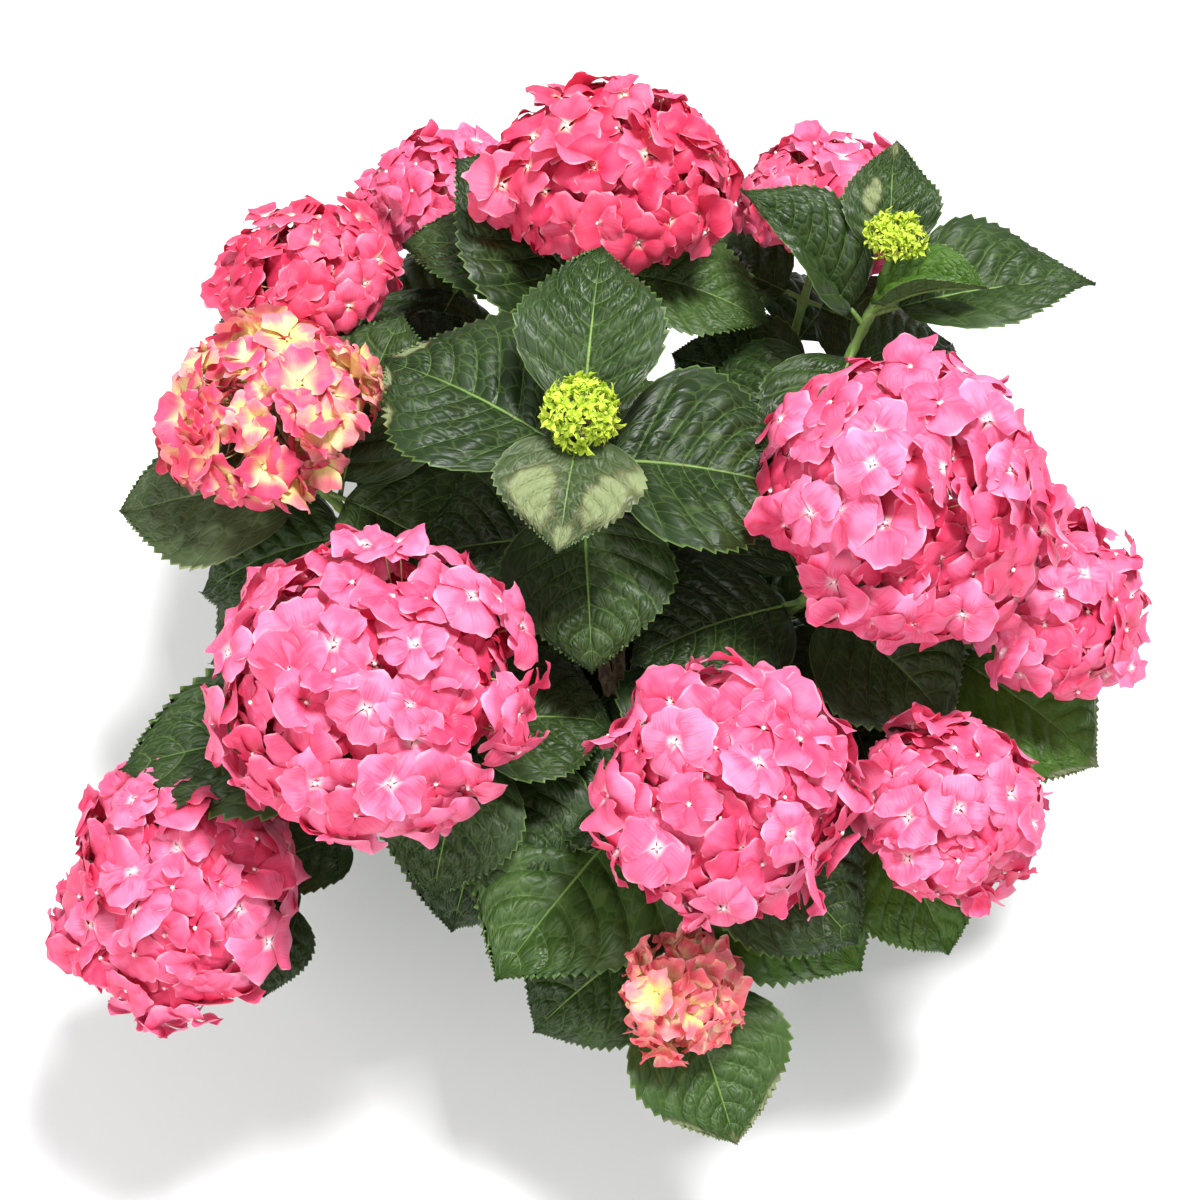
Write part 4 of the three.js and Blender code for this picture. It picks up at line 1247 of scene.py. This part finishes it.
@dataclass
class FlowerHead:
    """A mophead: florets spaced over a dome by the golden angle, on thin branching stalks.

    Attributes:
        head: The head's plan.
        random: Random numbers of its own.
        petal: The form that its petals share.
        seat: How far a floret's middle lies under the skin, in floret radii.
        uneven: How far the florets stand in or out, as shares of the head's radius.
        sink: How much deeper the sunk ones sit, likewise.
        five: Share of the florets that have five petals.
        layers: How far petals lie below and above their neighbours, by turns, as shares of
            the floret's size.
        stalk: Half thickness of a floret's stalk at foot and tip, in floret radii.
        branches: Stalks that leave the stem's tip.
        branch_sides: Corners round a stalk.
    """

    head: Head
    random: np.random.Generator
    petal: Petal = field(default_factory=Petal)
    seat: float = 0.42
    uneven: Range = (-0.11, 0.05)
    sink: Range = (0.1, 0.2)
    five: float = 0.06
    layers: Range = (-0.02, 0.045)
    stalk: Range = (0.035, 0.02)
    branches: int = 7
    branch_sides: int = 5

    def sites(self) -> tuple[np.ndarray, np.ndarray, np.ndarray]:
        """Where the florets sit, in the head's own frame.

        Returns:
            Their middles, the outward directions of the skin there, and how deep each sits
            among the rest, from 0 to 1.
        """
        head, plan = self.head, self.head.kind.value
        edge = 1 - math.cos(math.radians(FLORET_POLAR))
        skin = 2 * math.pi * head.radius ** 2 * edge * 0.8
        shrink = plan.shrink(head)
        count = round(skin / (plan.area * shrink ** 2))
        i = np.arange(count)
        phase = self.random.uniform(0, 360)
        polar = np.degrees(np.arccos(1 - edge * (i + 0.5) / count))
        polar = polar + self.random.uniform(-4, 4, count)
        turn = i * GOLDEN_TURN + self.random.uniform(0, 20, count)
        lift = 1 - self.seat * plan.radius * shrink / head.radius
        lift = lift + self.random.uniform(*self.uneven, count)
        lift = lift + 0.05 * np.sin(np.radians(3 * turn + phase)) * np.sin(np.radians(2 * polar))
        lift = lift + 0.045 * np.cos(np.radians(5 * polar + 2 * turn + 2 * phase))
        deep = self.random.uniform(size=count) < plan.sunk
        lift = np.where(deep, lift - self.random.uniform(*self.sink, count), lift)
        middle = head.dome(polar, turn, lift)
        out = unit(head.dome(polar, turn, np.ones(count)) / np.array([1, 1, head.tall ** 2]))
        rank = np.argsort(np.argsort(self.random.normal(0, plan.stray, count) - lift))
        return middle, out, (rank + 0.5) / count

    def build(self, name: str) -> None:
        """Builds the petals and the stalks of the head.

        Args:
            name: The shoot's name.
        """
        head, plan, random = self.head, self.head.kind.value, self.random
        tones, shares = list(plan.tones), np.cumsum(list(plan.tones.values()))
        petals = Batch(marks=("along", "across", "tone"))
        stalks = Batch()
        spin = turned_to(head.axis())
        place = np.array(head.at, float)
        middles, outs, depths = self.sites()
        hubs = self.hubs()
        for middle, out, depth in zip(middles, outs, depths):
            lean = heading(random.uniform(0, 360), 0) * plan.loose * random.uniform(0, 1) ** 1.5
            normal = unit(out + lean)
            side = unit(np.cross(normal, heading(random.uniform(0, 360), 10)))
            other = np.cross(normal, side)
            basis = np.stack([side, other, normal], -1)
            size = plan.radius * plan.shrink(head) * random.uniform(*plan.size)
            tone, cupped = random.uniform(), random.uniform() ** 1.3
            # The highest florets take the first, lighter tones and the sunk ones the last, darker
            # tones: painted light and painted shade on pink and rose heads.
            finish = int(np.searchsorted(shares / shares[-1], depth))
            count = 5 if random.uniform() < self.five else 4
            for k in range(count):
                angle = 2 * math.pi * k / count + random.uniform(-0.12, 0.12)
                c, s = math.cos(angle), math.sin(angle)
                length = size * random.uniform(0.88, 1.1)
                points, marks = self.petal.sheet(length, cupped, plan, random)
                flat = points @ np.array([[c, s, 0], [-s, c, 0], [0, 0, 1]])
                flat[..., 2] += self.layers[k % 2] * size * np.clip(
                    points[..., 0] / (0.4 * size), 0, 1)
                world = place + (middle + flat @ basis.T) @ spin.T
                petals.add(grid(world), finish, tone=tone, **marks)
            bead = middle + normal * 0.4 * plan.bead_radius + BALL[0] * plan.bead_radius
            world = place + bead @ spin.T
            petals.add(lump(world), len(tones))
            hub = hubs[int(np.argmin(np.linalg.norm(hubs - middle * 0.5, axis=1)))]
            self.branch(stalks, place + spin @ hub, place + spin @ middle, spin @ normal,
                        self.stalk[0] * plan.radius, self.stalk[1] * plan.radius)
        base = np.array([0, 0, -HEAD_BASE * head.radius])
        for hub in hubs:
            self.branch(stalks, place + spin @ base, place + spin @ hub,
                        unit(spin @ (hub - base * 0.6)), 0.62 * SHOOT_END, 0.4 * SHOOT_END)
        finishes = [dressed(tone.value) for tone in (*tones, plan.bead)]
        settle(petals.build(f"petals_{name}", finishes), plan.slot, f"bloom_{name}")
        settle(stalks.build(f"stalks_{name}", [dressed(STALK)]), plan.slot, f"bloom_{name}")

    def hubs(self) -> np.ndarray:
        """Points inside the head where its stalks branch."""
        turn = 360 * np.arange(self.branches) / self.branches
        ring = self.head.dome(np.full(self.branches, 66.0), turn, np.full(self.branches, 0.4))
        top = self.head.dome(np.array([0.0]), np.array([0.0]), np.array([0.38]))
        return np.concatenate([ring, top])

    def branch(self, stalks: Batch, start: np.ndarray, end: np.ndarray, arrive: np.ndarray,
               thick: float, thin: float) -> None:
        """Adds one curved stalk.

        Args:
            stalks: The batch that it goes into.
            start: Its foot.
            end: Its tip.
            arrive: The direction in which it reaches its tip.
            thick: Half thickness at its foot.
            thin: Half thickness at its tip.
        """
        reach = float(np.linalg.norm(end - start))
        way = unit(end - start)
        curve = StemCurve(start, start + way * 0.35 * reach, end - arrive * 0.35 * reach, end)
        path = curve.point(np.linspace(0, 1, 6))
        radii = np.linspace(thick, thin, 6)
        stalks.add(tube(path, radii, self.branch_sides))


# ---- Stems, stump, pot and soil -----------------------------------------------------------


@dataclass
class ShootBuilder:
    """Builds one shoot: its bark-covered cane, green stem, leaf stalks and blades.

    Attributes:
        shoot: The shoot's plan.
        curve: The stem's middle line.
        random: Random numbers of its own.
        blade: The form that its blades share.
        sides: Corners round the stem.
        step: Distance between its rings.
        first_knot: From the cane's top to the first joint of its bark.
        knot_gap: From one joint to the next.
        knot: How far the bark swells at a joint, and how far along that runs.
        node: How far the green stem swells at a leaf, and how far along that runs.
        leaf_stalk: Half thickness of a leaf's stalk at foot and blade.
        midrib: Half thickness of the midrib under a blade, at its base and near its tip.
        deep_share: Share of the leaves of no set tone that are deep green.
    """

    shoot: Shoot
    curve: StemCurve
    random: np.random.Generator
    blade: Blade = field(default_factory=Blade)
    sides: int = 14
    step: float = 4.0
    first_knot: float = 22.0
    knot_gap: float = 46.0
    knot: Range = (0.75, 3.2)
    node: Range = (0.8, 3.0)
    leaf_stalk: Range = (2.1, 1.5)
    midrib: Range = (1.4, 0.35)
    deep_share: float = 0.4

    def cane(self, clear: float) -> None:
        """Builds the woody part of the stem.

        Args:
            clear: How much of the start is left out, inside what the cane grows from.
        """
        start = FORK_START if self.shoot.fork else CANE_START
        top = self.shoot.green_length() + GAP
        foot = self.curve.length - clear
        count = max(4, round((foot - top) / self.step))
        down = np.linspace(foot, top, count + 1)
        share = (down - top) / max(self.curve.length - top, 1)
        radii = SHOOT_START + (start - SHOOT_START) * share
        for joint in np.arange(top + self.first_knot, foot, self.knot_gap):
            radii = radii + self.knot[0] * np.exp(-((down - joint) / self.knot[1]) ** 2)
        phase = self.random.uniform(0, 6, 4)

        def relief(far: np.ndarray, angle: np.ndarray) -> np.ndarray:
            """Ridges that run along the bark and wander a little."""
            wander = 0.7 * np.sin(far / 17 + phase[0])
            return (0.2 * np.sin(5 * angle + phase[1] + wander)
                    + 0.14 * np.sin(9 * angle + phase[2] - 1.6 * wander)
                    + 0.12 * np.sin(far / 2.3 + 3 * np.sin(angle + phase[3])))

        batch = Batch()
        batch.add(tube(self.curve.up_from_end(down), radii, self.sides, relief))
        name = self.shoot.name
        settle(batch.build(f"bark_{name}", [dressed(BARK)]), "bark_brown", f"cane_{name}")

    def green(self) -> None:
        """Builds the green stem and the leaves' stalks, as one piece, and the blades."""
        shoot, random = self.shoot, self.random
        length = shoot.green_length()
        end = -0.12 * shoot.head.radius if shoot.head else 0.0
        count = round((length - end) / self.step)
        down = np.linspace(length, end, count + 1)
        path = self.curve.up_from_end(np.maximum(down, 0))
        path = path + np.maximum(-down, 0)[:, None] * self.curve.tangent(1.0)
        radii = np.interp(down, [0, length], [SHOOT_END, SHOOT_START])
        for leaf in shoot.leaves:
            radii = radii + self.node[0] * np.exp(
                -((down - leaf.down - 1.5) / self.node[1]) ** 2)
        stems = Batch()
        stems.add(tube(path, radii, self.sides))
        blades = Batch(marks=("ribs", "across", "dry", "tone"))
        tones = list(LeafTone)
        for leaf in shoot.leaves:
            base = self.curve.up_from_end(leaf.down)
            self.petiole(stems, leaf, base)
            tone = leaf.tone or (DEEP if random.uniform() < self.deep_share else MID)
            sheet, marks = self.blade.sheet(leaf, base, random)
            blades.add(sheet, tones.index(tone), tone=random.uniform(), **marks)
        name = shoot.name
        finishes = [dressed(tone.value) for tone in tones]
        settle(stems.build(f"stems_{name}", [dressed(GREEN_STEM)]), "leaf_green",
               f"leaves_{name}")
        settle(blades.build(f"blades_{name}", finishes), "leaf_green", f"leaves_{name}")

    def petiole(self, stems: Batch, leaf: Leaf, base: np.ndarray) -> None:
        """Adds a leaf's stalk, which runs on under the blade as its midrib.

        Args:
            stems: The batch that it goes into.
            leaf: The leaf.
            base: Where it leaves the stem.
        """
        share = np.linspace(0, self.blade.stalk - 0.01, 6)[:, None]
        foot = base + heading(leaf.turn, leaf.rise) * share * leaf.length
        along = np.linspace(0.0, 0.86, 12)
        middle, _, up = self.blade.frame(leaf, base, along)
        radii = np.concatenate([np.linspace(*self.leaf_stalk, 6), np.linspace(*self.midrib, 12)])
        below = middle - up * (0.55 + radii[6:, None] * 0.9)
        stems.add(tube(np.concatenate([foot, below]), radii, 8))


@dataclass
class Rootstock:
    """The woody stump: a short lobed trunk with a root flare at the soil."""

    foot: float = 164.3
    flare: float = 27.0
    top: float = 18.0
    lean: float = 2.0
    lobes: int = 5
    lobe_depth: float = 0.12
    dome: float = 6.0
    sides: int = 72

    def build(self, random: np.random.Generator) -> None:
        """Builds the stump.

        Args:
            random: Random numbers of its own.
        """
        share = np.concatenate([np.linspace(0, 1, 18), np.linspace(1.03, 1.2, 5)])
        angle = 2 * np.pi * np.arange(self.sides) / self.sides
        rings = []
        phase = random.uniform(0, 6, 3)
        for part in share:
            flare = max(0.0, 1 - part) ** 2
            dome = 1.0 if part <= 1 else math.sqrt(max(0.05, 1 - ((part - 1) / 0.22) ** 2))
            radius = dome * (self.top + (self.flare - self.top) * flare)
            ridge = (0.035 * np.sin(13 * angle + 3 * part + phase[0])
                     + 0.03 * np.sin(7 * angle - 4 * part + phase[1])
                     + 0.02 * np.sin(29 * angle + 9 * part + phase[2]))
            reach = radius * (1 + self.lobe_depth * flare * np.cos(self.lobes * angle) + ridge
                              - 0.04)
            height = self.foot + part * (STUMP_TOP - self.foot)
            rings.append(level_ring(reach, height, angle) + [self.lean * part, 0, 0])
        batch = Batch()
        batch.add([grid(np.array(rings), closed=True), fan(rings[0], rings[0].mean(0), True),
                   fan(rings[-1], rings[-1].mean(0) + UP * 0.8, False)])
        settle(batch.build("stump_bark", [dressed(BARK)]), "bark_brown", "woody_base")


@dataclass
class NurseryPot:
    """A round tapered plastic pot with a thickened band under its rim."""

    height: float = 180.0
    rim: float = 103.0
    base: float = 75.0
    wall: float = 2.5
    floor: float = 3.0
    band: float = 16.0
    band_step: float = 2.0
    foot_round: float = 3.0
    sides: int = 128

    def radius(self, height: float) -> float:
        """Radius of the outer wall at a height."""
        return self.base + (self.rim - self.band_step - self.base) * height / self.height

    def profile(self) -> list[tuple[float, float]]:
        """Radius and height of each ring, from under the floor, up outside, and down inside."""
        band_foot = self.height - self.band
        r, h = self.radius, self.height
        rings = [(0.5, 0.0), (self.base - 14, 0.0), (self.base - 13, 1.2), (self.base - 9, 1.2),
                 (self.base - 8, 0.0), (self.base - self.foot_round, 0.0),
                 (self.base - 1.2, 0.5), (r(1.6), 1.4), (r(self.foot_round), self.foot_round)]
        rings += [(r(z), z) for z in np.linspace(8, band_foot - 22, 9)]
        rings += [(r(band_foot - 18), band_foot - 18), (r(band_foot - 17) + 0.5, band_foot - 17),
                  (r(band_foot - 14) + 0.5, band_foot - 14), (r(band_foot - 13), band_foot - 13),
                  (r(band_foot), band_foot), (r(band_foot) + 0.6, band_foot + 0.3),
                  (r(band_foot) + self.band_step, band_foot + self.band_step),
                  (self.rim - 0.3, h - 3), (self.rim, h - 1.6), (self.rim - 0.3, h - 0.5),
                  (self.rim - 1.1, h), (r(h) - self.wall + 0.7, h), (r(h) - self.wall, h - 0.8)]
        rings += [(r(z) - self.wall, z) for z in np.linspace(h - 6, self.floor + 1, 9)]
        return rings + [(r(self.floor) - self.wall - 1.2, self.floor), (0.5, self.floor)]

    def build(self) -> None:
        """Builds the pot."""
        angle = 2 * np.pi * np.arange(self.sides) / self.sides
        batch = Batch()
        batch.add(grid(np.array([level_ring(*at, angle) for at in self.profile()]), closed=True))
        settle(batch.build("pot_shell", [dressed(POT_PLASTIC)]), "pot_black", "pot")


@dataclass
class PottingSoil:
    """The soil in the pot: a rough heaped skin with loose crumbs on it."""

    level: float = 160.0
    crown: float = 4.0
    reach: float = 95.0
    foot: float = 3.6
    base: float = 72.0
    crumbs: int = 420
    crumb_size: Range = (0.8, 2.6)
    crumb_ring: Range = (32.0, 91.0)
    sides: int = 120

    def top(self, radius: float, angle: Any) -> Any:
        """Height of the soil's rough surface."""
        heap = self.crown * (1 - smooth(35, 72, radius))
        rough = (0.7 * np.sin(radius / 5.1 + 2 * np.sin(3 * angle))
                 + 0.6 * np.sin(radius / 2.7 - 5 * angle) + 0.5 * np.sin(11 * angle + radius / 8))
        return self.level + heap + rough * smooth(24, 34, radius) * 0.7 - 0.6

    def build(self, random: np.random.Generator) -> None:
        """Builds the soil.

        Args:
            random: Random numbers of its own.
        """
        angle = 2 * np.pi * np.arange(self.sides) / self.sides
        rings = [level_ring(radius, self.foot, angle) for radius in (1.0, self.base)]
        rings += [level_ring(radius, self.top(radius, angle), angle)
                  for radius in np.linspace(self.reach, 1.0, 44)]
        batch = Batch()
        batch.add(grid(np.array(rings), closed=True))
        for _ in range(self.crumbs):
            radius = math.sqrt(random.uniform(*(edge ** 2 for edge in self.crumb_ring)))
            turn = random.uniform(0, 2 * math.pi)
            size = random.uniform(*self.crumb_size) * np.array([1, random.uniform(0.5, 1), 0.6])
            height = float(self.top(radius, turn))
            spin = random.uniform(0, 6)
            c, s = math.cos(spin), math.sin(spin)
            crumb = BALL[0] * size * random.uniform(0.85, 1.15, (len(BALL[0]), 1))
            crumb = crumb @ np.array([[c, s, 0], [-s, c, 0], [0, 0, 1]])
            batch.add(lump(crumb + [radius * math.cos(turn), radius * math.sin(turn),
                                    height + 0.3]))
        settle(batch.build("soil_heap", [dressed(POTTING_SOIL)]), "soil_dark", "soil")


# ---- Studio -------------------------------------------------------------------------------


@dataclass(frozen=True)
class Studio:
    """A pale floor, soft light and the camera."""

    camera_at: Point = (-0.014, -0.624, 1.347)
    camera_tilt: float = 32.0
    camera_angle: float = 34.0
    floor_size: float = 8.0
    sky_power: float = 0.49

    def build(self) -> None:
        """Builds the floor, the lights and the camera."""
        scene = bpy.context.scene
        half = self.floor_size / 2
        mesh = bpy.data.meshes.new("floor")
        mesh.from_pydata([(-half, -half, 0), (half, -half, 0), (half, half, 0), (-half, half, 0)],
                         [], [(0, 1, 2, 3)])
        floor = bpy.data.objects.new("floor", mesh)
        floor.data.materials.append(PlainFinish(
            "floor_paint", (0.9, 0.9, 0.9), (0.88, 0.88, 0.88), 3.0, 0.5, 0.05, 0.8).material())
        scene.collection.objects.link(floor)
        world = bpy.data.worlds.new("studio")
        world.use_nodes = True
        sky = world.node_tree.nodes["Background"].inputs
        sky["Color"].default_value = (1, 1, 1, 1)
        sky["Strength"].default_value = self.sky_power
        scene.world = world
        self.lamp("key", (0.45, 0.2, 2.6), (0.0, 0.05, 0.35), 0.45, 88)
        self.lamp("fill", (-1.2, -1.6, 1.9), (0.0, -0.05, 0.3), 1.8, 42)
        camera = bpy.data.objects.new("camera", bpy.data.cameras.new("camera"))
        camera.location = self.camera_at
        camera.rotation_euler = (math.radians(self.camera_tilt), 0, 0)
        camera.data.sensor_width = 36
        camera.data.angle = math.radians(self.camera_angle)
        camera.data.clip_start, camera.data.clip_end = 0.01, 50
        scene.collection.objects.link(camera)
        scene.camera = camera
        scene.view_settings.view_transform = "Standard"

    @staticmethod
    def lamp(name: str, at: Point, towards: Point, size: float, power: float) -> None:
        """Adds a soft square lamp.

        Args:
            name: Its name.
            at: Where it is.
            towards: What it shines on.
            size: Its side.
            power: Its power in watts.
        """
        data = bpy.data.lights.new(name, "AREA")
        data.energy, data.size = power, size
        lamp = bpy.data.objects.new(name, data)
        lamp.location = at
        back = unit(np.array(at) - np.array(towards))
        turn = math.atan2(back[1], back[0])
        lamp.rotation_euler = (0, math.acos(back[2]), turn)
        bpy.context.scene.collection.objects.link(lamp)


def main() -> None:
    """Builds the pot, the plant and the studio, in order."""
    logging.basicConfig(level=logging.INFO, format="%(message)s")
    NurseryPot().build()
    PottingSoil().build(np.random.default_rng(7))
    Rootstock().build(np.random.default_rng(8))
    curves: dict[str, StemCurve] = {}
    for index, shoot in enumerate(SHOOTS):
        curves[shoot.name] = stem_curve(shoot, curves)
        builder = ShootBuilder(shoot, curves[shoot.name], np.random.default_rng(100 + index))
        builder.cane(clear=2.0)
        builder.green()
        if shoot.head:
            FlowerHead(shoot.head, np.random.default_rng(200 + index)).build(shoot.name)
    Studio().build()


if __name__ == "__main__":
    main()
